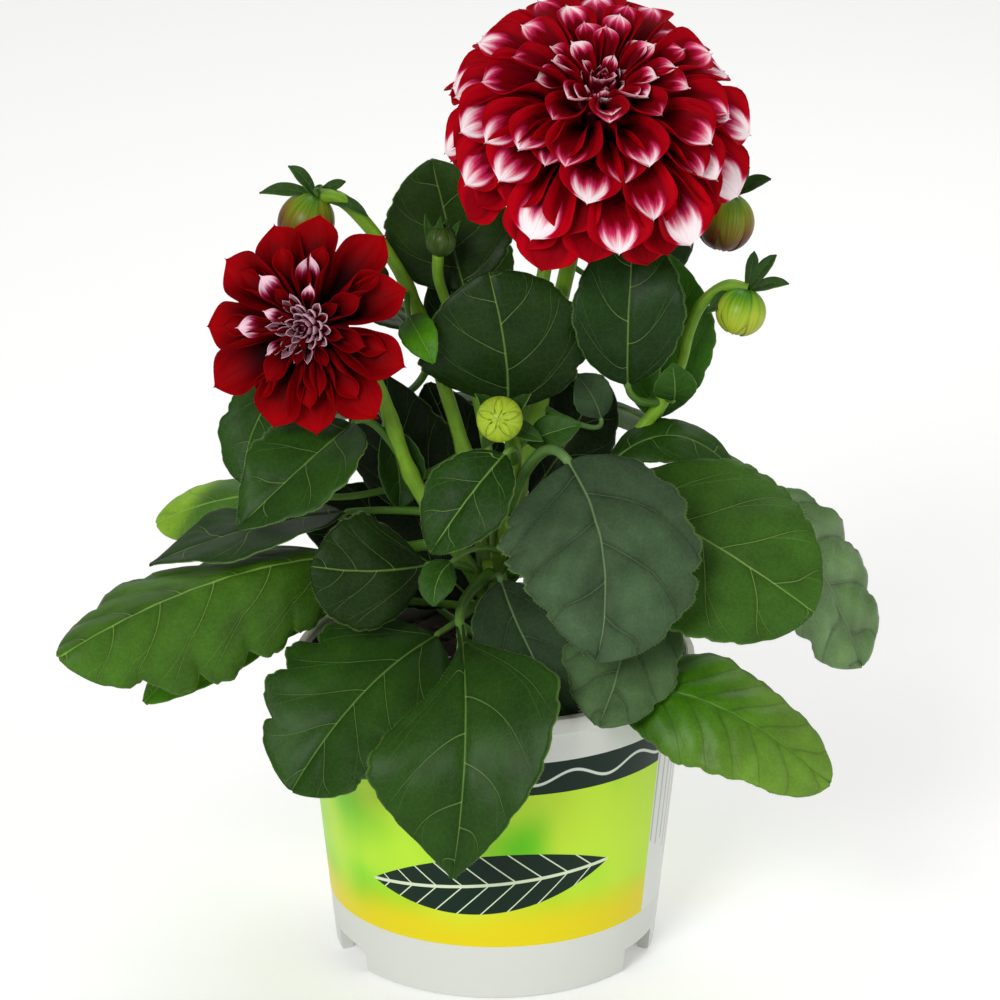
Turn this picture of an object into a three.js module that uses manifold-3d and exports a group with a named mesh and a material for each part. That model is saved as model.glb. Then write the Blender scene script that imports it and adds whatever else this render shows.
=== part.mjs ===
// Potted dwarf dahlia. Millimetres, +Z up. The origin is on the axis of the pot
// at the resting plane; the front, with the small bloom to the left, looks to -Y.
import * as THREE from 'three';
import Module from 'manifold-3d';

const wasm = await Module();
wasm.setup();

// Driving dimensions of the pot
const POT_HEIGHT = 100;
const RIM_RADIUS = 65;
const RIM_HEIGHT = 6;
const TOP_RADIUS = 63;
const BASE_RADIUS = 53;
const WALL = 1.8;
const FOOT_HEIGHT = 8;
const FOOT_WIDTH = 4;
const FLOOR = 2;
const SLOT_ANGLES = [-152, -28, 90];
const SLOT_WIDTH = 19;
const DRAIN_RADIUS = 4;
const DRAIN_CIRCLE = 30;

// Driving dimensions of the soil and of the gap between neighbours
const SOIL_TOP = 91;
const SOIL_RELIEF = 1.6;
const GAP = 0.3;

// Driving dimensions of the plant
const BLADE = 0.8;
const PETAL = 0.7;

const rad = (degrees) => degrees * Math.PI / 180;
const vec = (p) => new THREE.Vector3(p[0], p[1], p[2]);
const lerp = (a, b, t) => a + (b - a) * t;

// A Manifold solid from points and triangles, turned outward where it is inside out
function solid(points, triangles) {
  let volume = 0;
  for (const [a, b, c] of triangles) {
    volume += points[a].dot(new THREE.Vector3().crossVectors(points[b], points[c]));
  }
  const faces = volume < 0 ? triangles.map(([a, b, c]) => [a, c, b]) : triangles;
  return new wasm.Manifold(new wasm.Mesh({
    numProp: 3,
    vertProperties: Float32Array.from(points.flatMap((p) => [p.x, p.y, p.z])),
    triVerts: Uint32Array.from(faces.flat()),
  }));
}

// The same from a three.js geometry, with its seams welded
function fromGeometry(geometry) {
  const place = geometry.getAttribute('position');
  const index = geometry.index ? geometry.index.array : Array.from({ length: place.count }, (_, i) => i);
  const points = [];
  const seen = new Map();
  const remap = [];
  for (let i = 0; i < place.count; i += 1) {
    const p = new THREE.Vector3().fromBufferAttribute(place, i);
    const key = [p.x, p.y, p.z].map((value) => Math.round(value * 1e4)).join(' ');
    if (!seen.has(key)) {
      seen.set(key, points.length);
      points.push(p);
    }
    remap.push(seen.get(key));
  }
  const triangles = [];
  for (let i = 0; i < index.length; i += 3) {
    const t = [remap[index[i]], remap[index[i + 1]], remap[index[i + 2]]];
    if (t[0] !== t[1] && t[1] !== t[2] && t[2] !== t[0]) triangles.push(t);
  }
  return solid(points, triangles);
}

// The largest of a solid's separate pieces
function largest(shape) {
  const pieces = shape.decompose();
  pieces.sort((a, b) => b.volume() - a.volume());
  return pieces[0];
}

function toGeometry(shape) {
  const mesh = shape.getMesh();
  const stride = mesh.numProp;
  const positions = new Float32Array(mesh.numVert * 3);
  for (let i = 0; i < mesh.numVert; i += 1) {
    for (let k = 0; k < 3; k += 1) positions[i * 3 + k] = mesh.vertProperties[i * stride + k];
  }
  const geometry = new THREE.BufferGeometry();
  geometry.setAttribute('position', new THREE.BufferAttribute(positions, 3));
  geometry.setIndex(Array.from(mesh.triVerts));
  geometry.computeVertexNormals();
  return geometry;
}

// A round solid that follows a curve, its radius running from one value to the next
function tube(curve, radii, segments, sides) {
  const frames = curve.computeFrenetFrames(segments, false);
  const points = [];
  const triangles = [];
  for (let i = 0; i <= segments; i += 1) {
    const t = i / segments;
    const centre = curve.getPointAt(t);
    const place = t * (radii.length - 1);
    const k = Math.min(Math.floor(place), radii.length - 2);
    const radius = lerp(radii[k], radii[k + 1], place - k);
    for (let j = 0; j < sides; j += 1) {
      const angle = 2 * Math.PI * j / sides;
      points.push(centre.clone()
        .addScaledVector(frames.normals[i], radius * Math.cos(angle))
        .addScaledVector(frames.binormals[i], radius * Math.sin(angle)));
    }
  }
  for (let i = 0; i < segments; i += 1) {
    for (let j = 0; j < sides; j += 1) {
      const a = i * sides + j;
      const b = i * sides + (j + 1) % sides;
      triangles.push([a, b, b + sides], [a, b + sides, a + sides]);
    }
  }
  const first = points.length;
  points.push(curve.getPointAt(0), curve.getPointAt(1));
  const last = segments * sides;
  for (let j = 0; j < sides; j += 1) {
    const k = (j + 1) % sides;
    triangles.push([first, k, j], [first + 1, last + j, last + k]);
  }
  return solid(points, triangles);
}

// A closed thin blade over a grid of surface points; both faces are split alike
function blade(surface, rows, columns, thickness) {
  const at = (i, j) => surface(i / rows, -1 + 2 * j / columns);
  const top = [];
  const under = [];
  for (let i = 0; i <= rows; i += 1) {
    for (let j = 0; j <= columns; j += 1) {
      const along = at(Math.min(i + 1, rows), j).sub(at(Math.max(i - 1, 0), j));
      const across = at(i, Math.min(j + 1, columns)).sub(at(i, Math.max(j - 1, 0)));
      const normal = new THREE.Vector3().crossVectors(along, across).normalize();
      top.push(at(i, j).addScaledVector(normal, thickness / 2));
      under.push(at(i, j).addScaledVector(normal, -thickness / 2));
    }
  }
  const count = top.length;
  const id = (i, j) => i * (columns + 1) + j;
  const triangles = [];
  for (let i = 0; i < rows; i += 1) {
    for (let j = 0; j < columns; j += 1) {
      const [a, b, c, d] = [id(i, j), id(i, j + 1), id(i + 1, j + 1), id(i + 1, j)];
      const faces = j < columns / 2 ? [[a, b, c], [a, c, d]] : [[a, b, d], [b, c, d]];
      for (const [p, q, r] of faces) {
        triangles.push([p, q, r], [p + count, r + count, q + count]);
      }
    }
  }
  const edge = (a, b) => triangles.push([a, a + count, b + count], [a, b + count, b]);
  for (let j = 0; j < columns; j += 1) {
    edge(id(0, j), id(0, j + 1));
    edge(id(rows, j + 1), id(rows, j));
  }
  for (let i = 0; i < rows; i += 1) {
    edge(id(i, columns), id(i + 1, columns));
    edge(id(i + 1, 0), id(i, 0));
  }
  return solid([...top, ...under], triangles);
}

const bezier = (from, through, to) => {
  const control = through.clone().multiplyScalar(2).addScaledVector(from, -0.5).addScaledVector(to, -0.5);
  return new THREE.QuadraticBezierCurve3(from, control, to);
};

// Pot
const wallRadius = (z) => lerp(BASE_RADIUS, TOP_RADIUS, z / POT_HEIGHT);

function makePot() {
  const under = FOOT_HEIGHT;
  const inner = FOOT_HEIGHT + FLOOR;
  const profile = [
    [0, under], [BASE_RADIUS - FOOT_WIDTH, under], [BASE_RADIUS - FOOT_WIDTH, 0],
    [BASE_RADIUS - 0.8, 0], [BASE_RADIUS, 0.8], [wallRadius(50), 50],
    [wallRadius(POT_HEIGHT - RIM_HEIGHT), POT_HEIGHT - RIM_HEIGHT],
    [RIM_RADIUS - 0.6, POT_HEIGHT - RIM_HEIGHT + 0.6], [RIM_RADIUS, POT_HEIGHT - 1],
    [RIM_RADIUS - 0.8, POT_HEIGHT], [RIM_RADIUS - 2.8, POT_HEIGHT],
    [TOP_RADIUS - WALL - 0.6, POT_HEIGHT - RIM_HEIGHT], [wallRadius(50) - WALL, 50],
    [wallRadius(inner) - WALL, inner], [0, inner],
  ].map(([r, z]) => new THREE.Vector2(r, z));
  const lathe = new THREE.LatheGeometry(profile, 36);
  lathe.rotateX(Math.PI / 2);
  let pot = fromGeometry(lathe);
  for (const angle of SLOT_ANGLES) {
    const slot = new THREE.BoxGeometry(20, SLOT_WIDTH, 2 * FOOT_HEIGHT);
    slot.translate(BASE_RADIUS - 2, 0, 0);
    slot.rotateZ(rad(angle));
    pot = pot.subtract(fromGeometry(slot));
  }
  for (let k = 0; k < 6; k += 1) {
    const drain = new THREE.CylinderGeometry(DRAIN_RADIUS, DRAIN_RADIUS, 8, 10);
    drain.rotateX(Math.PI / 2);
    drain.translate(DRAIN_CIRCLE * Math.cos(rad(60 * k)), DRAIN_CIRCLE * Math.sin(rad(60 * k)), inner - 1);
    pot = pot.subtract(fromGeometry(drain));
  }
  return pot;
}

// Soil: a filled plug with a lumpy top and a plain hole for the stem
function makeSoil() {
  const floor = FOOT_HEIGHT + FLOOR + GAP;
  const sides = 24;
  const rings = [0.25, 0.5, 0.72, 0.88, 1];
  const edge = (z) => wallRadius(z) - WALL - GAP - 0.7;
  const points = [new THREE.Vector3(0, 0, SOIL_TOP)];
  const triangles = [];
  rings.forEach((share, ring) => {
    for (let j = 0; j < sides; j += 1) {
      const angle = 2 * Math.PI * (j + 0.5 * (ring % 2)) / sides;
      const r = share * edge(SOIL_TOP);
      const lump = Math.sin(5 * angle + 2.1 * ring) + 0.7 * Math.sin(9 * angle - 1.3 * ring);
      const z = SOIL_TOP + (ring === rings.length - 1 ? -1 : 0) + SOIL_RELIEF * 0.6 * lump;
      points.push(new THREE.Vector3(r * Math.cos(angle), r * Math.sin(angle), z));
    }
  });
  for (let j = 0; j < sides; j += 1) triangles.push([0, 1 + j, 1 + (j + 1) % sides]);
  for (let ring = 0; ring < rings.length - 1; ring += 1) {
    for (let j = 0; j < sides; j += 1) {
      const k = (j + 1) % sides;
      const [a, b] = [1 + ring * sides + j, 1 + ring * sides + k];
      const [c, d] = [a + sides, b + sides];
      if (ring % 2) triangles.push([a, c, d], [a, d, b]);
      else triangles.push([a, c, b], [b, c, d]);
    }
  }
  const rim = 1 + (rings.length - 1) * sides;
  const base = points.length;
  for (let j = 0; j < sides; j += 1) {
    const p = points[rim + j];
    const angle = Math.atan2(p.y, p.x);
    points.push(new THREE.Vector3(edge(floor) * Math.cos(angle), edge(floor) * Math.sin(angle), floor));
  }
  points.push(new THREE.Vector3(0, 0, floor));
  for (let j = 0; j < sides; j += 1) {
    const k = (j + 1) % sides;
    triangles.push([rim + j, base + j, base + k], [rim + j, base + k, rim + k]);
    triangles.push([base + sides, base + k, base + j]);
  }
  const hole = new THREE.CylinderGeometry(6.4, 6.4, 40, 12);
  hole.rotateX(Math.PI / 2);
  hole.translate(0, 0, SOIL_TOP + 8);
  return solid(points, triangles).subtract(fromGeometry(hole));
}

// Stems: the points that each one passes through, and its radii
const MAIN_STEM = { path: [[0, 0, 80], [0, 0, 106], [0, 0, 130]], radii: [5.4, 5.4, 5.2, 4] };
const SHOOTS = {
  shoot_large_bloom: {
    path: [[2, 3, 118], [8, 8, 155], [16, 12, 188], [21, 11, 215], [25, 10, 234], [28, 7, 251], [29, 4, 261]],
    radii: [3.2, 3, 2.8, 2.6, 2.6, 4],
  },
  shoot_right_bud: {
    path: [[1, 4, 124], [6, 17, 163], [13, 22, 199], [16, 26, 221], [22, 33, 240], [38, 43, 252],
      [58, 45, 254], [71, 40, 250], [76, 36, 243]],
    radii: [2.8, 2.6, 2.4, 2.2, 2, 2.4],
  },
  shoot_left_bud: {
    path: [[-2, 3, 119], [-8, 8, 156], [-16, 10, 185], [-24, 9, 210], [-31, 8, 226], [-41, 7, 241],
      [-49, 6, 249], [-56, 6, 250]],
    radii: [2.7, 2.5, 2.3, 2.1, 2, 2.4],
  },
  shoot_small_bloom: {
    path: [[-3, -1, 120], [-14, -8, 140], [-26, -10, 161], [-32, -10, 178], [-37, -9, 192],
      [-45, -10, 204], [-53, -13, 212]],
    radii: [2.8, 2.6, 2.4, 2.2, 2.2, 3.4],
  },
  shoot_upper_left_bud: {
    path: [[-1, 4, 127], [-2, 13, 159], [-8, 15, 189], [-14, 12, 209], [-18, 8, 223], [-18, 6, 231]],
    radii: [1.9, 1.8, 1.6, 1.5, 1.9],
  },
  shoot_lower_right_bud: {
    path: [[3, 1, 123], [22, 3, 145], [40, 5, 165], [52, 6, 180], [59, 6, 194], [62, 6, 206],
      [66, 6, 215], [74, 5, 221], [80, 4, 220]],
    radii: [2.7, 2.5, 2.2, 2, 1.8, 2],
  },
  shoot_front_bud: {
    path: [[1, -2, 127], [3, -11, 145], [6, -18, 163], [6, -22, 178], [3, -25, 185]],
    radii: [2, 1.8, 1.6, 1.9],
  },
};

const stemCurve = (stem) => new THREE.CatmullRomCurve3(stem.path.map(vec));

function stemSolid(stem, grow, sides) {
  const radii = stem.radii.map((radius) => radius + grow);
  return tube(stemCurve(stem), radii, Math.round(1.5 * (stem.path.length - 1)), sides);
}

// Leaves. root, base, mid and tip run along the petiole and the midrib; face is the
// side that the upper surface looks to; half is the greatest half width and wide its
// place along the blade; fold lifts the two halves, in degrees; teeth are counted on
// one side and cut is their depth; blunt is how full the base and the tip are; skew, if
// given, moves the widest place along the blade, forward on one side and back on the other.
const LEAVES = {
  leaf_low_front: { root: [-1, -3, 127], base: [-11, -38, 122], mid: [-9, -78, 99], tip: [-13, -86, 57],
    face: [0, -0.8, 0.6], half: 30, wide: 0.48, fold: [16, -5], wave: 2,
    teeth: 4, cut: 0.03, blunt: [2.3, 0.95], skew: 0.14 },
  leaf_low_left: { root: [-3, -3, 119], base: [-19, -28, 115], mid: [-42, -55, 105], tip: [-63, -69, 79],
    face: [-0.2, -0.75, 0.63], half: 29, wide: 0.5, fold: [5, 5], wave: 2.5,
    teeth: 5, cut: 0.2, blunt: [0.7, 0.5] },
  leaf_long_left: { root: [-14, -8, 140], base: [-51, -23, 140], mid: [-92, -46, 138], tip: [-134, -66, 122],
    face: [0.05, -0.25, 0.97], half: 31, wide: 0.45, fold: [-57, -22], wave: 3,
    teeth: 5, cut: 0.2, blunt: [0.38, 0.45] },
  leaf_dark_left: { root: [-20, -9, 150], base: [-48, -15, 152], mid: [-79, -24, 149], tip: [-109, -26, 138],
    face: [0.1, 0.05, 1], half: 18, wide: 0.45, fold: [-8, 10], wave: 1.5,
    teeth: 4, cut: 0.1, blunt: [0.8, 0.8] },
  leaf_curled_left: { root: [-10, 8, 164], base: [-58, 10, 149], mid: [-86, 17, 146], tip: [-111, 20, 136],
    face: [0.1, -0.6, 0.8], half: 13, wide: 0.6, fold: [-10, -25], wave: 1,
    teeth: 3, cut: 0.05, blunt: [0.8, 0.4] },
  leaf_mid_left: { root: [-27, -10, 163], base: [-45, -17, 182], mid: [-61, -33, 172], tip: [-80, -40, 155],
    face: [-0.3, -0.7, 0.65], half: 18, wide: 0.42, fold: [10, 10], wave: 1.5,
    teeth: 4, cut: 0.08, blunt: [0.6, 0.8] },
  leaf_back_of_left: { root: [-33, -10, 181], base: [-66, 6, 190], mid: [-77, 7, 174], tip: [-81, 2, 156],
    face: [-0.4, -0.85, 0.3], half: 12, wide: 0.5, fold: [5, 5], wave: 1,
    teeth: 4, cut: 0.14, blunt: [0.7, 0.6] },
  leaf_round_left: { root: [-4, 0, 125], base: [-22, -26, 138], mid: [-39, -40, 141], tip: [-57, -44, 144],
    face: [0, -0.93, 0.35], half: 19, wide: 0.52, fold: [-12, -12], wave: 1.5,
    teeth: 3, cut: 0.06, blunt: [0.7, 0.5] },
  leaf_small_front: { root: [6, -20, 170], base: [3, -33, 177], mid: [-8, -42, 166], tip: [-20, -46, 149],
    face: [-0.2, -0.85, 0.5], half: 14, wide: 0.5, fold: [8, 8], wave: 1,
    teeth: 3, cut: 0.05, blunt: [0.7, 0.7] },
  leaf_dark_low: { root: [2, -3, 116], base: [2, -22, 131], mid: [10, -44, 118], tip: [23, -54, 97],
    face: [0, -0.85, 0.53], half: 17, wide: 0.5, fold: [6, 6], wave: 1,
    teeth: 3, cut: 0.05, blunt: [0.7, 0.7] },
  leaf_large_front: { root: [4, -14, 152], base: [23, -42, 177], mid: [33, -64, 155], tip: [31, -77, 125],
    face: [0.05, -0.88, 0.47], half: 31, wide: 0.42, fold: [-6, -6], wave: 1.5,
    teeth: 5, cut: 0.1, blunt: [0.42, 0.6], skew: -0.1 },
  leaf_under_front: { root: [5, -1, 126], base: [44, -32, 138], mid: [40, -52, 119], tip: [32, -68, 100],
    face: [0, -0.8, 0.6], half: 19, wide: 0.5, fold: [-6, -6], wave: 1.5,
    teeth: 4, cut: 0.12, blunt: [0.7, 0.6] },
  leaf_large_right: { root: [14, 2, 137], base: [36, -14, 160], mid: [67, -38, 150], tip: [99, -50, 131],
    face: [0.25, -0.8, 0.55], half: 32, wide: 0.5, fold: [-6, -6], wave: 1,
    teeth: 4, cut: 0.02, blunt: [0.6, 0.5] },
  leaf_far_right: { root: [45, 5, 170], base: [92, 36, 141], mid: [110, 46, 110], tip: [125, 52, 74],
    face: [0.35, -0.78, 0.52], half: 20, wide: 0.58, fold: [-8, -8], wave: 2,
    teeth: 4, cut: 0.2, blunt: [0.6, 0.45] },
  leaf_low_right: { root: [4, -2, 118], base: [39, -46, 105], mid: [71, -61, 103], tip: [104, -66, 80],
    face: [0.1, -0.5, 0.86], half: 21, wide: 0.45, fold: [-8, -26], wave: 1.5,
    teeth: 4, cut: 0.06, blunt: [0.42, 0.42] },
  leaf_dark_right: { root: [26, 3, 149], base: [36, -5, 164], mid: [57, -1, 173], tip: [78, 0, 159],
    face: [0, -0.4, 0.9], half: 11, wide: 0.5, fold: [-10, -10], wave: 0.5,
    teeth: 3, cut: 0.03, blunt: [0.7, 0.7] },
  leaf_high_left: { root: [-13, 12, 205], base: [-10, 16, 217], mid: [-15, 18, 237], tip: [-20, 13, 260],
    face: [-0.1, -0.95, 0.1], half: 21, wide: 0.45, fold: [6, 6], wave: 1,
    teeth: 4, cut: 0.04, blunt: [0.5, 0.6] },
  leaf_centre: { root: [7, 8, 150], base: [4, -5, 184], mid: [3, -12, 206], tip: [-2, -9, 229],
    face: [0, -0.9, 0.4], half: 28, wide: 0.45, fold: [-8, -8], wave: 2,
    teeth: 4, cut: 0.08, blunt: [0.5, 0.5] },
  leaf_high_right: { root: [53, 6, 182], base: [42, -6, 192], mid: [42, -8, 216], tip: [44, 3, 240],
    face: [0, -0.95, 0.2], half: 18, wide: 0.5, fold: [8, 8], wave: 1,
    teeth: 3, cut: 0.03, blunt: [0.6, 0.6] },
  leaf_bright_right: { root: [56, 6, 187], base: [51, 12, 175], mid: [54, 17, 200], tip: [54, 20, 228],
    face: [0.2, -0.95, 0.1], half: 17, wide: 0.5, fold: [8, 8], wave: 1,
    teeth: 3, cut: 0.03, blunt: [0.6, 0.7] },
  leaf_little_right: { root: [54, 6, 184], base: [57, -1, 185], mid: [57, -6, 191], tip: [56, -8, 199],
    face: [0, -0.95, 0.2], half: 7, wide: 0.5, fold: [8, 8], wave: 0,
    teeth: 2, cut: 0.03, blunt: [0.6, 0.7] },
  leaf_little_left: { root: [-28, 8, 219], base: [-27, -4, 213], mid: [-24, -15, 211], tip: [-19, -21, 203],
    face: [0, -0.95, 0.3], half: 6, wide: 0.5, fold: [8, 8], wave: 0,
    teeth: 2, cut: 0.03, blunt: [0.6, 0.7] },
  leaf_folded: { root: [-32, -10, 178], base: [-35, -3, 176], mid: [-31, -4, 163], tip: [-31, -6, 150],
    face: [0.3, -0.9, 0.2], half: 9, wide: 0.5, fold: [30, 30], wave: 0.5,
    teeth: 3, cut: 0.05, blunt: [0.6, 0.7] },
  leaf_young_front: { root: [1, -7, 136], base: [-14, -32, 141], mid: [-18, -38, 137], tip: [-19, -42, 130],
    face: [-0.1, -0.9, 0.4], half: 6, wide: 0.5, fold: [10, 10], wave: 0,
    teeth: 2, cut: 0.03, blunt: [0.6, 0.7] },
  leaf_under_left: { root: [-4, -1, 114], base: [-50, -8, 118], mid: [-86, -18, 110], tip: [-112, -28, 92],
    face: [-0.1, -0.3, 0.95], half: 13, wide: 0.55, fold: [-15, -5], wave: 1,
    teeth: 3, cut: 0.06, blunt: [0.8, 0.6] },
  leaf_little_centre: { root: [6, -21, 172], base: [10, -20, 177], mid: [18, -23, 181], tip: [27, -24, 184],
    face: [0, -0.8, 0.6], half: 6, wide: 0.5, fold: [8, 8], wave: 0,
    teeth: 2, cut: 0.03, blunt: [0.7, 0.8] },
  leaf_grey_centre: { root: [14, 10, 180], base: [34, 9, 176], mid: [31, 7, 184], tip: [26, 3, 192],
    face: [0.2, -0.9, 0.2], half: 7, wide: 0.5, fold: [8, 8], wave: 0,
    teeth: 2, cut: 0.05, blunt: [0.6, 0.7] },
  leaf_behind_bloom: { root: [18, 28, 228], base: [44, 28, 218], mid: [54, 30, 226], tip: [63, 30, 237],
    face: [-0.1, -0.9, 0.3], half: 9, wide: 0.5, fold: [8, 8], wave: 0,
    teeth: 2, cut: 0.05, blunt: [0.6, 0.7] },
  leaf_little_upper: { root: [-24, 9, 210], base: [-34, 14, 214], mid: [-40, 17, 221], tip: [-44, 17, 230],
    face: [-0.1, -0.9, 0.3], half: 6, wide: 0.5, fold: [8, 8], wave: 0,
    teeth: 2, cut: 0.03, blunt: [0.6, 0.7] },
  leaf_dark_middle: { root: [-8, 14, 188], base: [-9, 21, 190], mid: [-13, 23, 206], tip: [-15, 22, 224],
    face: [-0.1, -0.95, 0.15], half: 10.5, wide: 0.5, fold: [8, 8], wave: 0.5,
    teeth: 3, cut: 0.05, blunt: [0.6, 0.7] },
  leaf_inner_left: { root: [-4, 12, 150], base: [-12, 16, 146], mid: [-29, 17, 161], tip: [-38, 13, 190],
    face: [-0.1, -0.95, 0.2], half: 17, wide: 0.5, fold: [-6, -6], wave: 1,
    teeth: 3, cut: 0.06, blunt: [0.6, 0.6] },
  leaf_inner_right: { root: [5, 14, 152], base: [12, 18, 147], mid: [24, 21, 165], tip: [34, 20, 187],
    face: [0, -0.95, 0.2], half: 15, wide: 0.5, fold: [-6, -6], wave: 1,
    teeth: 3, cut: 0.06, blunt: [0.6, 0.6] },
  leaf_inner_low: { root: [-1, 3, 106], base: [-8, 10, 113], mid: [-30, 14, 130], tip: [-65, 17, 143],
    face: [0, -0.9, 0.4], half: 19, wide: 0.5, fold: [-6, -6], wave: 1,
    teeth: 3, cut: 0.06, blunt: [0.6, 0.6] },
  leaf_inner_middle: { root: [1, 4, 118], base: [3, 24, 128], mid: [-9, 27, 152], tip: [-22, 24, 183],
    face: [0, -0.95, 0.2], half: 15, wide: 0.5, fold: [-6, -6], wave: 1,
    teeth: 3, cut: 0.06, blunt: [0.6, 0.6] },
  leaf_rear_low: { root: [0, 4, 109], base: [1, 34, 120], mid: [4, 62, 120], tip: [8, 91, 92],
    face: [0, 0.5, 0.87], half: 25, wide: 0.45, fold: [-6, -6], wave: 2,
    teeth: 4, cut: 0.08, blunt: [0.7, 0.7] },
  leaf_rear_low_left: { root: [-2, 3, 101], base: [-24, 24, 110], mid: [-48, 44, 114], tip: [-72, 60, 96],
    face: [-0.35, 0.35, 0.87], half: 20, wide: 0.45, fold: [-6, -6], wave: 2,
    teeth: 4, cut: 0.08, blunt: [0.7, 0.7] },
  leaf_rear_low_right: { root: [3, 3, 113], base: [26, 22, 119], mid: [50, 46, 115], tip: [72, 70, 92],
    face: [0.35, 0.35, 0.87], half: 22, wide: 0.45, fold: [-6, -6], wave: 2,
    teeth: 4, cut: 0.1, blunt: [0.7, 0.7] },
  leaf_rear_left: { root: [-20, 9, 198], base: [-36, 26, 177], mid: [-58, 36, 168], tip: [-82, 44, 150],
    face: [-0.3, 0.3, 0.9], half: 17, wide: 0.5, fold: [-8, -8], wave: 1,
    teeth: 3, cut: 0.06, blunt: [0.6, 0.7] },
  leaf_rear_middle: { root: [6, 17, 165], base: [-4, 36, 172], mid: [-8, 54, 170], tip: [-12, 74, 152],
    face: [0, 0.4, 0.9], half: 19, wide: 0.5, fold: [-8, -8], wave: 1.5,
    teeth: 4, cut: 0.08, blunt: [0.6, 0.7] },
  leaf_rear_right: { root: [11, 21, 190], base: [30, 34, 174], mid: [48, 46, 166], tip: [66, 58, 146],
    face: [0.3, 0.4, 0.87], half: 18, wide: 0.5, fold: [-8, -8], wave: 1.5,
    teeth: 4, cut: 0.06, blunt: [0.6, 0.7] },
  leaf_rear_high: { root: [13, 22, 200], base: [2, 36, 206], mid: [-6, 44, 218], tip: [-13, 48, 232],
    face: [0, 0.9, 0.4], half: 13, wide: 0.5, fold: [6, 6], wave: 1,
    teeth: 3, cut: 0.06, blunt: [0.6, 0.7] },
  leaf_rear_high_left: { root: [-22, 9, 207], base: [-28, 28, 200], mid: [-36, 40, 204], tip: [-44, 52, 200],
    face: [-0.2, 0.3, 0.93], half: 12, wide: 0.5, fold: [-6, -6], wave: 1,
    teeth: 3, cut: 0.06, blunt: [0.6, 0.7] },
  leaf_rear_high_right: { root: [14, 24, 208], base: [36, 34, 206], mid: [46, 42, 212], tip: [54, 54, 210],
    face: [0.2, 0.3, 0.93], half: 12, wide: 0.5, fold: [-6, -6], wave: 1,
    teeth: 3, cut: 0.06, blunt: [0.6, 0.7] },
};

function leafSurface(leaf) {
  const midrib = bezier(vec(leaf.base), vec(leaf.mid), vec(leaf.tip));
  const face = vec(leaf.face).normalize();
  return (t, v) => {
    const tangent = midrib.getTangent(t);
    const normal = face.clone().addScaledVector(tangent, -face.dot(tangent)).normalize();
    const side = new THREE.Vector3().crossVectors(tangent, normal);
    const wide = leaf.wide + (leaf.skew ?? 0) * Math.sign(v);
    const x = t < wide ? t / wide : (1 - t) / (1 - wide);
    const outline = Math.sin(Math.PI / 2 * x) ** leaf.blunt[t < wide ? 0 : 1];
    const notch = 1 - Math.abs(Math.sin(Math.PI * leaf.teeth * t)) ** 0.7;
    const width = Math.max(leaf.half * outline * (1 - leaf.cut * notch), Math.min(1.2, leaf.half / 8));
    const slope = rad(leaf.fold[v < 0 ? 0 : 1]) * (0.55 + 0.45 * Math.abs(v));
    const waves = Math.sin(Math.PI * (3 * t + 0.4 * Math.sign(v)));
    const ripple = leaf.wave * waves * Math.sin(Math.PI * t) * v * v;
    return midrib.getPoint(t)
      .addScaledVector(side, v * width * Math.cos(slope))
      .addScaledVector(normal, Math.abs(v) * width * Math.sin(slope) + ripple);
  };
}

function petioleCurve(leaf) {
  const base = vec(leaf.base);
  const root = vec(leaf.root);
  const midrib = bezier(base, vec(leaf.mid), vec(leaf.tip));
  const tangent = midrib.getTangent(0);
  const control = base.clone().addScaledVector(tangent, -0.45 * base.distanceTo(root));
  const stalk = new THREE.QuadraticBezierCurve3(root, control, base);
  const points = [root, stalk.getPoint(0.33), stalk.getPoint(0.67), base, midrib.getPoint(0.1)];
  return new THREE.CatmullRomCurve3(points);
}

function leafSolid(leaf) {
  const large = leaf.half >= 30;
  const columns = large ? 4 : 2;
  const rows = leaf.half < 12 ? 4 : 2 * leaf.teeth;
  const shape = blade(leafSurface(leaf), rows, columns, BLADE);
  const radii = large ? [1.8, 1.5, 1.3, 0.7] : [1.1, 0.9, 0.8, 0.5];
  return shape.add(tube(petioleCurve(leaf), radii, large ? 5 : 3, 4));
}

// Blooms. seat is the top of the core that the petals grow from and axis the way that
// the bloom looks; each row gives the petals' count, their angle from the axis, length,
// half width, roll of the edges and outward bend, all in mm and degrees.
const BLOOMS = {
  bloom_large: {
    seat: [30, 1, 270], axis: [0.13, -0.5, 0.86], core: 19, heart: [9, 13], start: 20, seed: 3,
    outline: { claw: 0.2, broad: 0.72, tip: 2 },
    rows: [
      { count: 4, angle: 12, length: 29, half: 3.2, roll: 80, bend: 4 },
      { count: 7, angle: 27, length: 35, half: 4.8, roll: 75, bend: 8 },
      { count: 9, angle: 43, length: 41, half: 6.6, roll: 68, bend: 12 },
      { count: 11, angle: 60, length: 45, half: 8.4, roll: 60, bend: 16 },
      { count: 12, angle: 77, length: 47, half: 9.4, roll: 52, bend: 18 },
      { count: 12, angle: 95, length: 48, half: 9.8, roll: 42, bend: 20 },
      { count: 9, angle: 112, length: 46, half: 9, roll: 25, bend: 22 },
    ],
  },
  bloom_small: {
    seat: [-56, -17, 214], axis: [-0.2, -0.93, 0.3], core: 10, heart: [5, 6], start: 8, seed: 11,
    outline: { claw: 0.3, broad: 0.58, tip: 1.3 },
    rows: [
      { count: 3, angle: 14, length: 15, half: 2.2, roll: 80, bend: 0 },
      { count: 5, angle: 34, length: 19, half: 3.4, roll: 75, bend: 5 },
      { count: 7, angle: 55, length: 25, half: 5.2, roll: 65, bend: 10 },
      { count: 11, angle: 80, length: 35, half: 8.2, roll: 36, bend: 12 },
    ],
  },
};

// A repeatable number from -1 to 1 for a petal
function chance(seed, k) {
  const value = Math.sin(seed * 127.1 + k * 311.7) * 43758.5453;
  return 2 * (value - Math.floor(value)) - 1;
}

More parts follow.
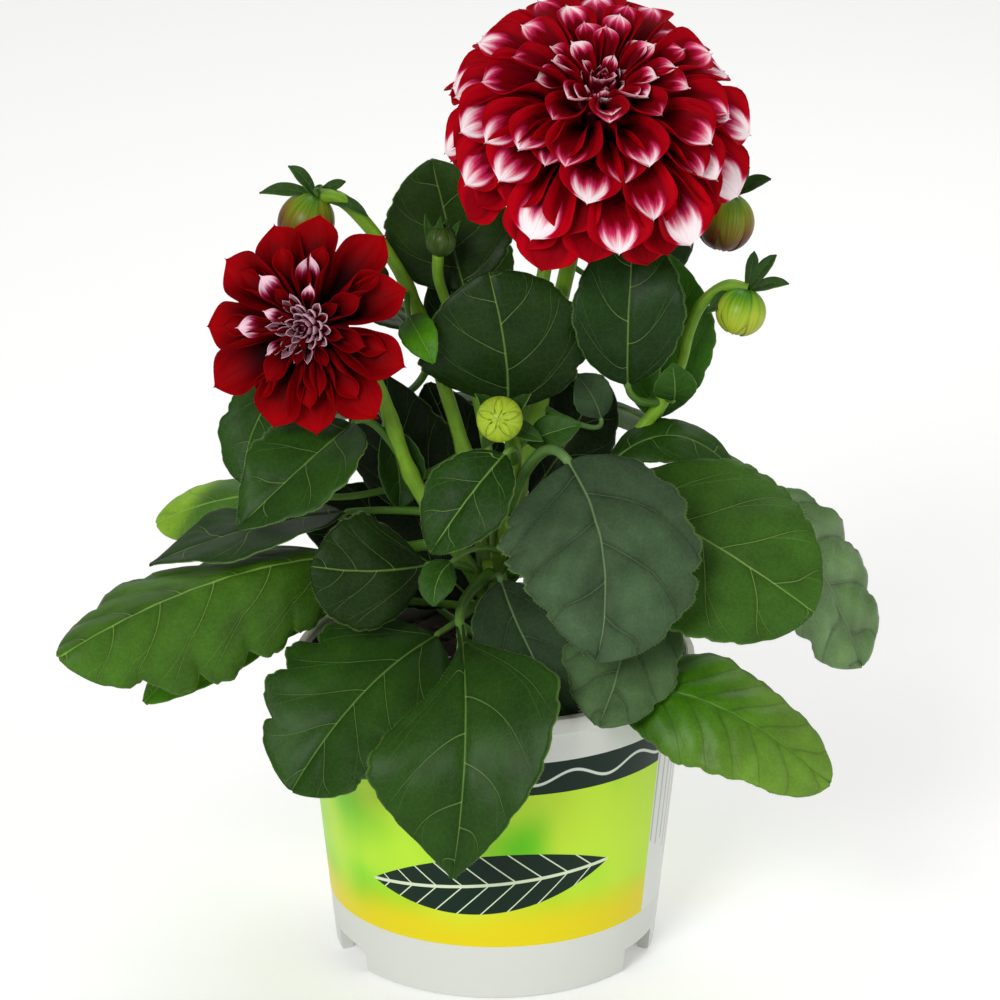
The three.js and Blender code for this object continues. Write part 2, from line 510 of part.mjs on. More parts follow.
function bloomFrame(bloom) {
  const axis = vec(bloom.axis).normalize();
  const across = new THREE.Vector3(1, 0, 0).addScaledVector(axis, -axis.x).normalize();
  const up = new THREE.Vector3().crossVectors(axis, across);
  return { axis, across, up };
}

function petalSurface(bloom, row, azimuth, angle, length) {
  const { axis, across, up } = bloomFrame(bloom);
  const seat = vec(bloom.seat);
  const outward = across.clone().multiplyScalar(Math.cos(azimuth)).addScaledVector(up, Math.sin(azimuth));
  const toward = (degrees, reach) => seat.clone()
    .addScaledVector(axis, reach * Math.cos(rad(degrees)))
    .addScaledVector(outward, reach * Math.sin(rad(degrees)));
  const start = angle < 50 ? bloom.heart[1] : bloom.core * 0.6;
  const from = toward(angle - row.bend, start);
  const through = toward(angle - 0.7 * row.bend, lerp(start, length, 0.55));
  const spine = bezier(from, through, toward(angle, length));
  const side = new THREE.Vector3().crossVectors(axis, outward);
  return (share, v) => {
    const t = 1 - (1 - share) ** 1.5;
    const tangent = spine.getTangent(t);
    const inner = new THREE.Vector3().crossVectors(tangent, side).normalize();
    const { claw, broad, tip } = bloom.outline;
    const x = t < broad
      ? claw + (1 - claw) * Math.sin(Math.PI / 2 * t / broad) ** 1.6
      : Math.cos(Math.PI / 2 * ((t - broad) / (1 - broad)) ** tip);
    const width = Math.max(row.half * x, 0.5);
    const roll = rad(row.roll) * (1.2 - 0.5 * t);
    return spine.getPoint(t)
      .addScaledVector(side, width * Math.sin(roll * v) / roll)
      .addScaledVector(inner, width * (1 - Math.cos(roll * v)) / roll);
  };
}

function bloomSolid(bloom) {
  const { axis } = bloomFrame(bloom);
  const core = new THREE.SphereGeometry(bloom.core, 12, 6);
  core.scale(1, 0.55, 1);
  core.applyQuaternion(new THREE.Quaternion().setFromUnitVectors(new THREE.Vector3(0, 1, 0), axis));
  core.translate(...bloom.seat);
  const heart = new THREE.SphereGeometry(bloom.heart[0], 8, 5);
  const middle = vec(bloom.seat).addScaledVector(axis, bloom.heart[1]);
  heart.translate(middle.x, middle.y, middle.z);
  const shapes = [fromGeometry(core), fromGeometry(heart)];
  let turn = bloom.start;
  let k = 0;
  for (const row of bloom.rows) {
    turn += 180 / row.count;
    for (let i = 0; i < row.count; i += 1) {
      const azimuth = rad(turn + 360 * i / row.count + 4 * chance(bloom.seed, k));
      const angle = row.angle + 3 * chance(bloom.seed + 1, k);
      const length = row.length * (1 + 0.05 * chance(bloom.seed + 2, k));
      shapes.push(blade(petalSurface(bloom, row, azimuth, angle, length), row.half < 5 ? 2 : 3, 2, PETAL));
      k += 1;
    }
  }
  return wasm.Manifold.union(shapes);
}

// Buds. neck is where the stem meets the bud and nose its far end; each bract is a
// small leaf at the neck, given by its tip from there and its half width.
const BRACT_FACE = [0, -0.75, 0.65];
const BUDS = {
  bud_left: { neck: [-56, 6, 250], nose: [-63, 6, 233], radius: 8.6,
    bracts: [[[-18, -1, 1], 2.4], [[-9, 2, 9], 2.2], [[9, 2, 4], 2], [[16, -3, -6], 2.2], [[1, -6, 4], 2]] },
  bud_right: { neck: [76, 36, 243], nose: [73, 35, 225], radius: 9,
    bracts: [[[13, 0, 5], 2.6], [[6, 1, 9], 2.3], [[-9, 0, 4], 2.2], [[0, 7, 3], 2]] },
  bud_low_right: { neck: [80, 4, 220], nose: [76, 2, 206], radius: 7.6,
    bracts: [[[9, 1, 11], 2.2], [[13, -1, 2], 2.2], [[-13, -3, -7], 3], [[2, 2, 12], 2]] },
  bud_front: { neck: [2, -25, 186], nose: [1, -38, 190], radius: 6.8,
    bracts: [[[-8, -3, 9], 2.6], [[9, -3, 9], 2.6], [[13, -4, -6], 3], [[-6, -3, -9], 2.4]] },
  bud_high_left: { neck: [-18, 6, 231], nose: [-16, 5, 240], radius: 4.4,
    bracts: [[[-4, 0, 13], 1.6], [[7, 0, 11], 1.6], [[1, -3, 13], 1.8], [[3, 3, 11], 1.6]] },
};

function budSurface(bud) {
  const neck = vec(bud.neck);
  const axis = vec(bud.nose).sub(neck);
  const height = axis.length();
  axis.normalize();
  const aside = Math.abs(axis.z) > 0.8 ? new THREE.Vector3(1, 0, 0) : new THREE.Vector3(0, 0, 1);
  const across = aside.addScaledVector(axis, -aside.dot(axis)).normalize();
  const third = new THREE.Vector3().crossVectors(axis, across);
  return { neck, axis, height, across, third };
}

function budSolid(bud) {
  const { neck, axis, height } = budSurface(bud);
  const body = new THREE.SphereGeometry(1, 9, 6);
  body.scale(bud.radius, height / 2, bud.radius);
  body.applyQuaternion(new THREE.Quaternion().setFromUnitVectors(new THREE.Vector3(0, 1, 0), axis));
  const centre = neck.clone().addScaledVector(axis, height / 2);
  body.translate(centre.x, centre.y, centre.z);
  const shapes = [fromGeometry(body)];
  for (const [reach, half] of bud.bracts) {
    const out = vec(reach);
    const root = neck.clone().addScaledVector(axis, 1.2);
    const tip = neck.clone().add(out);
    const mid = root.clone().lerp(tip, 0.5).addScaledVector(axis, -0.12 * out.length());
    const leaf = { base: root.toArray(), mid: mid.toArray(), tip: tip.toArray(), face: BRACT_FACE,
      half, wide: 0.55, fold: [12, 12], wave: 0, teeth: 1, cut: 0, blunt: [0.7, 0.8] };
    shapes.push(blade(leafSurface(leaf), 2, 2, BLADE));
  }
  return wasm.Manifold.union(shapes);
}

// The nodes
const group = new THREE.Group();
group.name = 'potted_dwarf_dahlia';

function addNode(name, shape, colour, roughness = 0.6) {
  const material = new THREE.MeshStandardMaterial({ color: colour, roughness });
  material.name = name;
  const mesh = new THREE.Mesh(toGeometry(shape), material);
  mesh.name = name;
  group.add(mesh);
}

addNode('pot', makePot(), 0xdcded9, 0.45);
addNode('soil', makeSoil(), 0x2b211a, 0.95);

const mainStem = stemSolid(MAIN_STEM, 0, 8);
addNode('main_stem', mainStem, 0x5f8f2a);
let grown = stemSolid(MAIN_STEM, GAP, 8);
for (const [name, stem] of Object.entries(SHOOTS)) {
  addNode(name, largest(stemSolid(stem, 0, 5).subtract(grown)), 0x6fa022);
  grown = grown.add(stemSolid(stem, GAP, 5));
}
for (const [name, leaf] of Object.entries(LEAVES)) {
  addNode(name, largest(leafSolid(leaf).subtract(grown)), 0x2f5f22);
}
for (const [name, bloom] of Object.entries(BLOOMS)) {
  addNode(name, largest(bloomSolid(bloom).subtract(grown)), 0xb0101e);
}
for (const [name, bud] of Object.entries(BUDS)) {
  addNode(name, largest(budSolid(bud).subtract(grown)), 0x9db52a);
}

export default group;
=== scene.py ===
# Potted dwarf dahlia: a white printed pot, peat, stems, leaves, two blooms and five buds.
# Lengths in the tables are millimetres in the row's frame; meshes are in metres.
import functools
import math

import bpy
import numpy as np
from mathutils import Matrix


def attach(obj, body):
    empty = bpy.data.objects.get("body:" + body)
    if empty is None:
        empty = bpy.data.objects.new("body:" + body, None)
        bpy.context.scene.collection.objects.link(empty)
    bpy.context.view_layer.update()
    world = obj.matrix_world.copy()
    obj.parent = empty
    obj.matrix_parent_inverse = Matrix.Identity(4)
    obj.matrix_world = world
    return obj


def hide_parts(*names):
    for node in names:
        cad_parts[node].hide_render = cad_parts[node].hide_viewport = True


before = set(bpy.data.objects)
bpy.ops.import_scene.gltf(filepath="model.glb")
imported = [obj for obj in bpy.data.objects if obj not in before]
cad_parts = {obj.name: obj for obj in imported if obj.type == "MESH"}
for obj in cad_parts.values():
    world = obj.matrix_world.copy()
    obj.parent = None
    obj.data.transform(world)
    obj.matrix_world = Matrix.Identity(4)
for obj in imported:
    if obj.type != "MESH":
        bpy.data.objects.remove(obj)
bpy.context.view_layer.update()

bl_info = {
    "name": "Potted Dwarf Dahlia",
    "version": (1, 0, 0),
    "blender": (4, 5, 0),
    "location": "3D View > Sidebar > Dahlia",
    "description": "Builds a potted dwarf dahlia from surfaces worked out with numpy",
    "category": "Add Mesh",
}

MM = 0.001
CAMERA_ASIDE = 0.0016  # how far right of the pot's axis the camera stands, in metres

# The shapes: stems as points and radii, leaves, blooms and buds, as the solids have them
MAIN_STEM = dict(path=((0, 0, 80), (0, 0, 106), (0, 0, 130)), radii=(5.4, 5.4, 5.2, 4))
SHOOTS = {
    "shoot_large_bloom": dict(
        path=((2, 3, 118), (8, 8, 155), (16, 12, 188), (21, 11, 215), (25, 10, 234),
              (28, 7, 251), (29, 4, 261)),
        radii=(3.2, 3, 2.8, 2.6, 2.6, 4)),
    "shoot_right_bud": dict(
        path=((1, 4, 124), (6, 17, 163), (13, 22, 199), (16, 26, 221), (22, 33, 240),
              (38, 43, 252), (58, 45, 254), (71, 40, 250), (76, 36, 243)),
        radii=(2.8, 2.6, 2.4, 2.2, 2, 2.4)),
    "shoot_left_bud": dict(
        path=((-2, 3, 119), (-8, 8, 156), (-16, 10, 185), (-24, 9, 210), (-31, 8, 226),
              (-41, 7, 241), (-49, 6, 249), (-56, 6, 250)),
        radii=(2.7, 2.5, 2.3, 2.1, 2, 2.4)),
    "shoot_small_bloom": dict(
        path=((-3, -1, 120), (-14, -8, 140), (-26, -10, 161), (-32, -10, 178), (-37, -9, 192),
              (-45, -10, 204), (-53, -13, 212)),
        radii=(2.8, 2.6, 2.4, 2.2, 2.2, 3.4)),
    "shoot_upper_left_bud": dict(
        path=((-1, 4, 127), (-2, 13, 159), (-8, 15, 189), (-14, 12, 209), (-18, 8, 223),
              (-18, 6, 231)),
        radii=(1.9, 1.8, 1.6, 1.5, 1.9)),
    "shoot_lower_right_bud": dict(
        path=((3, 1, 123), (22, 3, 145), (40, 5, 165), (52, 6, 180), (59, 6, 194),
              (62, 6, 206), (66, 6, 215), (74, 5, 221), (80, 4, 220)),
        radii=(2.7, 2.5, 2.2, 2, 1.8, 2)),
    "shoot_front_bud": dict(
        path=((1, -2, 127), (3, -11, 145), (6, -18, 163), (6, -22, 178), (3, -25, 185)),
        radii=(2, 1.8, 1.6, 1.9)),
}

# Each leaf: where its stalk leaves the stem, the base, middle and tip of its midrib, the way
# its face looks, half its width, the share of the length at which it is widest, the fold of
# each half in degrees, the height of its waves, the number and depth of its teeth, how blunt
# its base and tip are, its kind, and how far the two halves differ in where they are widest
LEAF_FIELDS = ("root", "base", "mid", "tip", "face", "half", "wide", "fold", "wave", "teeth", "cut",
               "blunt", "kind", "skew")
LEAVES = {name: dict(zip(LEAF_FIELDS, row)) for name, *row in (
    ("leaf_low_front", (-1, -3, 127), (-11, -38, 122), (-9, -78, 99), (-13, -86, 57), (0, -0.8, 0.6), 30,
     0.48, (16, -5), 2, 4, 0.03, (2.3, 0.95), "dark", 0.14),
    ("leaf_low_left", (-3, -3, 119), (-19, -28, 115), (-42, -55, 105), (-63, -69, 79),
     (-0.2, -0.75, 0.63), 29, 0.5, (5, 5), 2.5, 5, 0.2, (0.7, 0.5), "dark"),
    ("leaf_long_left", (-14, -8, 140), (-51, -23, 140), (-92, -46, 138), (-134, -66, 122),
     (0.05, -0.25, 0.97), 31, 0.45, (-57, -22), 3, 5, 0.2, (0.38, 0.45), "bright"),
    ("leaf_dark_left", (-20, -9, 150), (-48, -15, 152), (-79, -24, 149), (-109, -26, 138), (0.1, 0.05, 1),
     18, 0.45, (-8, 10), 1.5, 4, 0.1, (0.8, 0.8), "dark"),
    ("leaf_curled_left", (-10, 8, 164), (-58, 10, 149), (-86, 17, 146), (-111, 20, 136), (0.1, -0.6, 0.8),
     13, 0.6, (-10, -25), 1, 3, 0.05, (0.8, 0.4), "bright"),
    ("leaf_mid_left", (-27, -10, 163), (-45, -17, 182), (-61, -33, 172), (-80, -40, 155),
     (-0.3, -0.7, 0.65), 18, 0.42, (10, 10), 1.5, 4, 0.08, (0.6, 0.8), "dark"),
    ("leaf_back_of_left", (-33, -10, 181), (-66, 6, 190), (-77, 7, 174), (-81, 2, 156),
     (-0.4, -0.85, 0.3), 12, 0.5, (5, 5), 1, 4, 0.14, (0.7, 0.6), "dark"),
    ("leaf_round_left", (-4, 0, 125), (-22, -26, 138), (-39, -40, 141), (-57, -44, 144), (0, -0.93, 0.35),
     19, 0.52, (-12, -12), 1.5, 3, 0.06, (0.7, 0.5), "dark"),
    ("leaf_small_front", (6, -20, 170), (3, -33, 177), (-8, -42, 166), (-20, -46, 149),
     (-0.2, -0.85, 0.5), 14, 0.5, (8, 8), 1, 3, 0.05, (0.7, 0.7), "young"),
    ("leaf_dark_low", (2, -3, 116), (2, -22, 131), (10, -44, 118), (23, -54, 97), (0, -0.85, 0.53), 17,
     0.5, (6, 6), 1, 3, 0.05, (0.7, 0.7), "grey"),
    ("leaf_large_front", (4, -14, 152), (23, -42, 177), (33, -64, 155), (31, -77, 125),
     (0.05, -0.88, 0.47), 31, 0.42, (-6, -6), 1.5, 5, 0.1, (0.42, 0.6), "grey", -0.1),
    ("leaf_under_front", (5, -1, 126), (44, -32, 138), (40, -52, 119), (32, -68, 100), (0, -0.8, 0.6), 19,
     0.5, (-6, -6), 1.5, 4, 0.12, (0.7, 0.6), "grey"),
    ("leaf_large_right", (14, 2, 137), (36, -14, 160), (67, -38, 150), (99, -50, 131), (0.25, -0.8, 0.55),
     32, 0.5, (-6, -6), 1, 4, 0.02, (0.6, 0.5), "bright"),
    ("leaf_far_right", (45, 5, 170), (92, 36, 141), (110, 46, 110), (125, 52, 74), (0.35, -0.78, 0.52),
     20, 0.58, (-8, -8), 2, 4, 0.2, (0.6, 0.45), "shiny"),
    ("leaf_low_right", (4, -2, 118), (39, -46, 105), (71, -61, 103), (104, -66, 80), (0.1, -0.5, 0.86),
     21, 0.45, (-8, -26), 1.5, 4, 0.06, (0.42, 0.42), "quilted"),
    ("leaf_dark_right", (26, 3, 149), (36, -5, 164), (57, -1, 173), (78, 0, 159), (0, -0.4, 0.9), 11, 0.5,
     (-10, -10), 0.5, 3, 0.03, (0.7, 0.7), "dark"),
    ("leaf_high_left", (-13, 12, 205), (-10, 16, 217), (-15, 18, 237), (-20, 13, 260), (-0.1, -0.95, 0.1),
     21, 0.45, (6, 6), 1, 4, 0.04, (0.5, 0.6), "dark"),
    ("leaf_centre", (7, 8, 150), (4, -5, 184), (3, -12, 206), (-2, -9, 229), (0, -0.9, 0.4), 28, 0.45,
     (-8, -8), 2, 4, 0.08, (0.5, 0.5), "dark"),
    ("leaf_high_right", (53, 6, 182), (42, -6, 192), (42, -8, 216), (44, 3, 240), (0, -0.95, 0.2), 18,
     0.5, (8, 8), 1, 3, 0.03, (0.6, 0.6), "dark"),
    ("leaf_bright_right", (56, 6, 187), (51, 12, 175), (54, 17, 200), (54, 20, 228), (0.2, -0.95, 0.1),
     17, 0.5, (8, 8), 1, 3, 0.03, (0.6, 0.7), "bright"),
    ("leaf_little_right", (54, 6, 184), (57, -1, 185), (57, -6, 191), (56, -8, 199), (0, -0.95, 0.2), 7,
     0.5, (8, 8), 0, 2, 0.03, (0.6, 0.7), "young"),
    ("leaf_little_left", (-28, 8, 219), (-27, -4, 213), (-24, -15, 211), (-19, -21, 203), (0, -0.95, 0.3),
     6, 0.5, (8, 8), 0, 2, 0.03, (0.6, 0.7), "bright"),
    ("leaf_folded", (-32, -10, 178), (-35, -3, 176), (-31, -4, 163), (-31, -6, 150), (0.3, -0.9, 0.2), 9,
     0.5, (30, 30), 0.5, 3, 0.05, (0.6, 0.7), "dark"),
    ("leaf_young_front", (1, -7, 136), (-14, -32, 141), (-18, -38, 137), (-19, -42, 130),
     (-0.1, -0.9, 0.4), 6, 0.5, (10, 10), 0, 2, 0.03, (0.6, 0.7), "young"),
    ("leaf_under_left", (-4, -1, 114), (-50, -8, 118), (-86, -18, 110), (-112, -28, 92),
     (-0.1, -0.3, 0.95), 13, 0.55, (-15, -5), 1, 3, 0.06, (0.8, 0.6), "bright"),
    ("leaf_little_centre", (6, -21, 172), (10, -20, 177), (18, -23, 181), (27, -24, 184), (0, -0.8, 0.6),
     6, 0.5, (8, 8), 0, 2, 0.03, (0.7, 0.8), "young"),
    ("leaf_grey_centre", (14, 10, 180), (34, 9, 176), (31, 7, 184), (26, 3, 192), (0.2, -0.9, 0.2), 7,
     0.5, (8, 8), 0, 2, 0.05, (0.6, 0.7), "grey"),
    ("leaf_behind_bloom", (18, 28, 228), (44, 28, 218), (54, 30, 226), (63, 30, 237), (-0.1, -0.9, 0.3),
     9, 0.5, (8, 8), 0, 2, 0.05, (0.6, 0.7), "grey"),
    ("leaf_little_upper", (-24, 9, 210), (-34, 14, 214), (-40, 17, 221), (-44, 17, 230),
     (-0.1, -0.9, 0.3), 6, 0.5, (8, 8), 0, 2, 0.03, (0.6, 0.7), "dark"),
    ("leaf_dark_middle", (-8, 14, 188), (-9, 21, 190), (-13, 23, 206), (-15, 22, 224),
     (-0.1, -0.95, 0.15), 10.5, 0.5, (8, 8), 0.5, 3, 0.05, (0.6, 0.7), "dark"),
    ("leaf_inner_left", (-4, 12, 150), (-12, 16, 146), (-29, 17, 161), (-38, 13, 190), (-0.1, -0.95, 0.2),
     17, 0.5, (-6, -6), 1, 3, 0.06, (0.6, 0.6), "dark"),
    ("leaf_inner_right", (5, 14, 152), (12, 18, 147), (24, 21, 165), (34, 20, 187), (0, -0.95, 0.2), 15,
     0.5, (-6, -6), 1, 3, 0.06, (0.6, 0.6), "dark"),
    ("leaf_inner_low", (-1, 3, 106), (-8, 10, 113), (-30, 14, 130), (-65, 17, 143), (0, -0.9, 0.4), 19,
     0.5, (-6, -6), 1, 3, 0.06, (0.6, 0.6), "dark"),
    ("leaf_inner_middle", (1, 4, 118), (3, 24, 128), (-9, 27, 152), (-22, 24, 183), (0, -0.95, 0.2), 15,
     0.5, (-6, -6), 1, 3, 0.06, (0.6, 0.6), "dark"),
    ("leaf_rear_low", (0, 4, 109), (1, 34, 120), (4, 62, 120), (8, 91, 92), (0, 0.5, 0.87), 25, 0.45,
     (-6, -6), 2, 4, 0.08, (0.7, 0.7), "dark"),
    ("leaf_rear_low_left", (-2, 3, 101), (-24, 24, 110), (-48, 44, 114), (-72, 60, 96),
     (-0.35, 0.35, 0.87), 20, 0.45, (-6, -6), 2, 4, 0.08, (0.7, 0.7), "dark"),
    ("leaf_rear_low_right", (3, 3, 113), (26, 22, 119), (50, 46, 115), (72, 70, 92), (0.35, 0.35, 0.87),
     22, 0.45, (-6, -6), 2, 4, 0.1, (0.7, 0.7), "dark"),
    ("leaf_rear_left", (-20, 9, 198), (-36, 26, 177), (-58, 36, 168), (-82, 44, 150), (-0.3, 0.3, 0.9),
     17, 0.5, (-8, -8), 1, 3, 0.06, (0.6, 0.7), "dark"),
    ("leaf_rear_middle", (6, 17, 165), (-4, 36, 172), (-8, 54, 170), (-12, 74, 152), (0, 0.4, 0.9), 19,
     0.5, (-8, -8), 1.5, 4, 0.08, (0.6, 0.7), "dark"),
    ("leaf_rear_right", (11, 21, 190), (30, 34, 174), (48, 46, 166), (66, 58, 146), (0.3, 0.4, 0.87), 18,
     0.5, (-8, -8), 1.5, 4, 0.06, (0.6, 0.7), "dark"),
    ("leaf_rear_high", (13, 22, 200), (2, 36, 206), (-6, 44, 218), (-13, 48, 232), (0, 0.9, 0.4), 13, 0.5,
     (6, 6), 1, 3, 0.06, (0.6, 0.7), "dark"),
    ("leaf_rear_high_left", (-22, 9, 207), (-28, 28, 200), (-36, 40, 204), (-44, 52, 200),
     (-0.2, 0.3, 0.93), 12, 0.5, (-6, -6), 1, 3, 0.06, (0.6, 0.7), "dark"),
    ("leaf_rear_high_right", (14, 24, 208), (36, 34, 206), (46, 42, 212), (54, 54, 210), (0.2, 0.3, 0.93),
     12, 0.5, (-6, -6), 1, 3, 0.06, (0.6, 0.7), "dark"),
)}

# Each bloom: where its core sits and points, the core's radius, the heart's radius and height, the
# turn of the first row in degrees, the seed of the chances, the petals' width at the base and where
# they are broadest, how blunt they are, and its rows of petals: their number, angle from the axis
# in degrees, length, half width, roll of the edges and bend of the spine in degrees
BLOOMS = {
    "bloom_large": dict(
        seat=(30, 1, 270), axis=(0.13, -0.5, 0.86), core=19, heart=(9, 13), start=20,
        seed=3, claw=0.2, broad=0.72, tip=2,
        rows=(
            (4, 12, 29, 3.2, 80, 4),
            (7, 27, 35, 4.8, 75, 8),
            (9, 43, 41, 6.6, 68, 12),
            (11, 60, 45, 8.4, 60, 16),
            (12, 77, 47, 9.4, 52, 18),
            (12, 95, 48, 9.8, 42, 20),
            (9, 112, 46, 9, 25, 22),
        )),
    "bloom_small": dict(
        seat=(-56, -17, 214), axis=(-0.2, -0.93, 0.3), core=10, heart=(5, 6), start=8,
        seed=11, claw=0.3, broad=0.58, tip=1.3,
        rows=(
            (3, 14, 15, 2.2, 80, 0),
            (5, 34, 19, 3.4, 75, 5),
            (7, 55, 25, 5.2, 65, 10),
            (11, 80, 35, 8.2, 36, 12),
        )),
}

# Each bud: its neck, nose and radius, and for each free bract its reach and half its width
BUDS = {
    "bud_left": dict(neck=(-56, 6, 250), nose=(-63, 6, 233), radius=8.6, bracts=(
        ((-18, -1, 1), 2.4), ((-9, 2, 9), 2.2), ((9, 2, 4), 2), ((16, -3, -6), 2.2), ((1, -6, 4), 2))),
    "bud_right": dict(neck=(76, 36, 243), nose=(73, 35, 225), radius=9, bracts=(
        ((13, 0, 5), 2.6), ((6, 1, 9), 2.3), ((-9, 0, 4), 2.2), ((0, 7, 3), 2))),
    "bud_low_right": dict(neck=(80, 4, 220), nose=(76, 2, 206), radius=7.6, bracts=(
        ((9, 1, 11), 2.2), ((13, -1, 2), 2.2), ((-13, -3, -7), 3), ((2, 2, 12), 2))),
    "bud_front": dict(neck=(2, -25, 186), nose=(1, -38, 190), radius=6.8, bracts=(
        ((-8, -3, 9), 2.6), ((9, -3, 9), 2.6), ((13, -4, -6), 3), ((-6, -3, -9), 2.4))),
    "bud_high_left": dict(neck=(-18, 6, 231), nose=(-16, 5, 240), radius=4.4, bracts=(
        ((-4, 0, 13), 1.6), ((7, 0, 11), 1.6), ((1, -3, 13), 1.8), ((3, 3, 11), 1.6))),
}

# What each kind of leaf looks like: upper colour, lower colour and vein colour
LEAF_KINDS = {
    "dark": ("#21400C", "#46682A", "#6C8E42"),
    "grey": ("#3B5134", "#62785A", "#75905E"),
    "bright": ("#3C7006", "#66922A", "#86AC4C"),
    "quilted": ("#356406", "#66922A", "#5C8A1C"),
    "shiny": ("#3B5134", "#62785A", "#75905E"),
    "young": ("#284A14", "#5E8430", "#7CA34A"),
}
# Upper colours of single leaves that differ from their kind's, partly their own tone and partly
# painted shade on the inner and middle leaves, then how many millimetres the blades of single leaves
# bulge between their veins
LEAF_TONES_AND_SHADE = {"leaf_long_left": "#385C15", "leaf_curled_left": "#3F6420", "leaf_large_right": "#335617",
              "leaf_large_front": "#374C31", "leaf_under_front": "#425B36", "leaf_small_front": "#1B380A",
              "leaf_bright_right": "#2C5A06", "leaf_dark_left": "#1E3612", "leaf_inner_left": "#12200A",
              "leaf_inner_right": "#12200A", "leaf_inner_low": "#0E1A08", "leaf_inner_middle": "#0E1A08",
              "leaf_dark_middle": "#14240B", "leaf_dark_low": "#283C22", "leaf_high_left": "#22370F",
              "leaf_round_left": "#162A07", "leaf_centre": "#162C07", "leaf_high_right": "#17310B",
              "leaf_far_right": "#52743A"}
QUILTED = {"leaf_low_right": 1.0, "leaf_long_left": 0.9, "leaf_large_right": 0.35,
           "leaf_large_front": 1.3, "leaf_under_front": 1.0, "leaf_far_right": 1.2}

# Heights on the pot: edges of the sleeve, foot of its dark band, wavy line, drawn leaf, and upper
# edge of the side panel; then the distance of the panel's strokes along the wall
SLEEVE_LOW, SLEEVE_HIGH, BAND_LOW, WAVE_AT = 19.0, 84.3, 73.2, 78.6
LEAF_AT, PANEL_HIGH, STROKE_PITCH = 41.5, 76.0, 4.4
# Half widths in millimetres: from MIDDLING_LEAF on a leaf has hairs and a finer grid, from LARGE_LEAF
# on the finest grid, and from THICK_RIB on a thick midrib
MIDDLING_LEAF, LARGE_LEAF, THICK_RIB = 11, 25, 30
SCALE_THICKNESS = 0.45
# The stalks' colour where they leave the stem is their own green darkened by painted shade
HAIR_COLOUR, SHADED_STALK_COLOUR = "#A9BE8C", "#3A6216"


def linear(code):
    """Linear colour of an sRGB hex: c/12.92 below 0.04045, else ((c + 0.055)/1.055) to the power 2.4."""
    c = np.array([int(code[i:i + 2], 16) for i in (1, 3, 5)]) / 255
    c = np.where(c <= 0.04045, c / 12.92, ((c + 0.055) / 1.055) ** 2.4)
    return np.append(c, 1.0)


def smooth(x, low, high):
    """Smooth step: 0 below low, 1 above high, and 3u^2 - 2u^3 between."""
    u = np.clip((x - low) / (high - low), 0, 1)
    return u * u * (3 - 2 * u)


def unit(a):
    """Each vector divided by its length."""
    return a / np.maximum(np.linalg.norm(a, axis=-1, keepdims=True), 1e-12)


def dot(a, b):
    """Sum of the products of the components, kept as a column."""
    return np.sum(a * b, axis=-1, keepdims=True)


def chance(seed, k):
    """A repeatable number from -1 to 1: twice the fraction of 43758.5453 sin(127.1 seed + 311.7 k),
    less 1."""
    value = math.sin(seed * 127.1 + k * 311.7) * 43758.5453
    return 2 * (value - math.floor(value)) - 1


def arc(base, mid, tip, t):
    """A parabola from base through mid, at t = 1/2, to tip, and its unit tangent, for a column of t."""
    base, mid, tip = (np.array(p, float) for p in (base, mid, tip))
    control = 2 * mid - (base + tip) / 2
    place = (1 - t) ** 2 * base + 2 * t * (1 - t) * control + t ** 2 * tip
    return place, unit(2 * (1 - t) * (control - base) + 2 * t * (tip - control))


def spline(path, count):
    """Centripetal Catmull-Rom curve through the points: between two of them it is the cubic
    whose end slopes come from the neighbours, with knots spaced by the root of the distance.
    Gives count points evenly spaced by arc length."""
    p = np.array(path, float)
    p = np.vstack([2 * p[0] - p[1], p, 2 * p[-1] - p[-2]])
    knot = np.maximum(np.linalg.norm(np.diff(p, axis=0), axis=1) ** 0.5, 1e-4)
    u = np.linspace(0, 1, 33)[:-1, None]
    pieces = []
    for i in range(1, len(p) - 2):
        a, b, c = knot[i - 1], knot[i], knot[i + 1]
        x0, x1, x2, x3 = p[i - 1:i + 3]
        m1 = b * ((x1 - x0) / a - (x2 - x0) / (a + b) + (x2 - x1) / b)
        m2 = b * ((x2 - x1) / b - (x3 - x1) / (b + c) + (x3 - x2) / c)
        pieces.append((2 * u**3 - 3 * u**2 + 1) * x1 + (u**3 - 2 * u**2 + u) * m1
                      + (3 * u**2 - 2 * u**3) * x2 + (u**3 - u**2) * m2)
    dense = np.vstack(pieces + [p[-2:-1]])
    length = np.append(0, np.cumsum(np.linalg.norm(np.diff(dense, axis=0), axis=1)))
    even = np.linspace(0, length[-1], count)
    return np.stack([np.interp(even, length, dense[:, k]) for k in range(3)], axis=1)


class Part:
    """Points with a tint each, quads and triangles, and two coordinate pairs for each corner."""

    def __init__(self, points, quads, triangles=(), tint=None, rib=None, skin=None, finish=0):
        self.points = np.asarray(points, float).reshape(-1, 3)
        self.quads = np.asarray(quads, int).reshape(-1, 4)
        self.triangles = np.asarray(triangles, int).reshape(-1, 3)
        corners = self.quads.size + self.triangles.size
        self.tint = np.broadcast_to(np.ones(4) if tint is None else tint, (len(self.points), 4))
        self.rib = np.zeros((corners, 2)) if rib is None else rib
        self.skin = np.zeros((corners, 2)) if skin is None else skin
        self.finish = finish


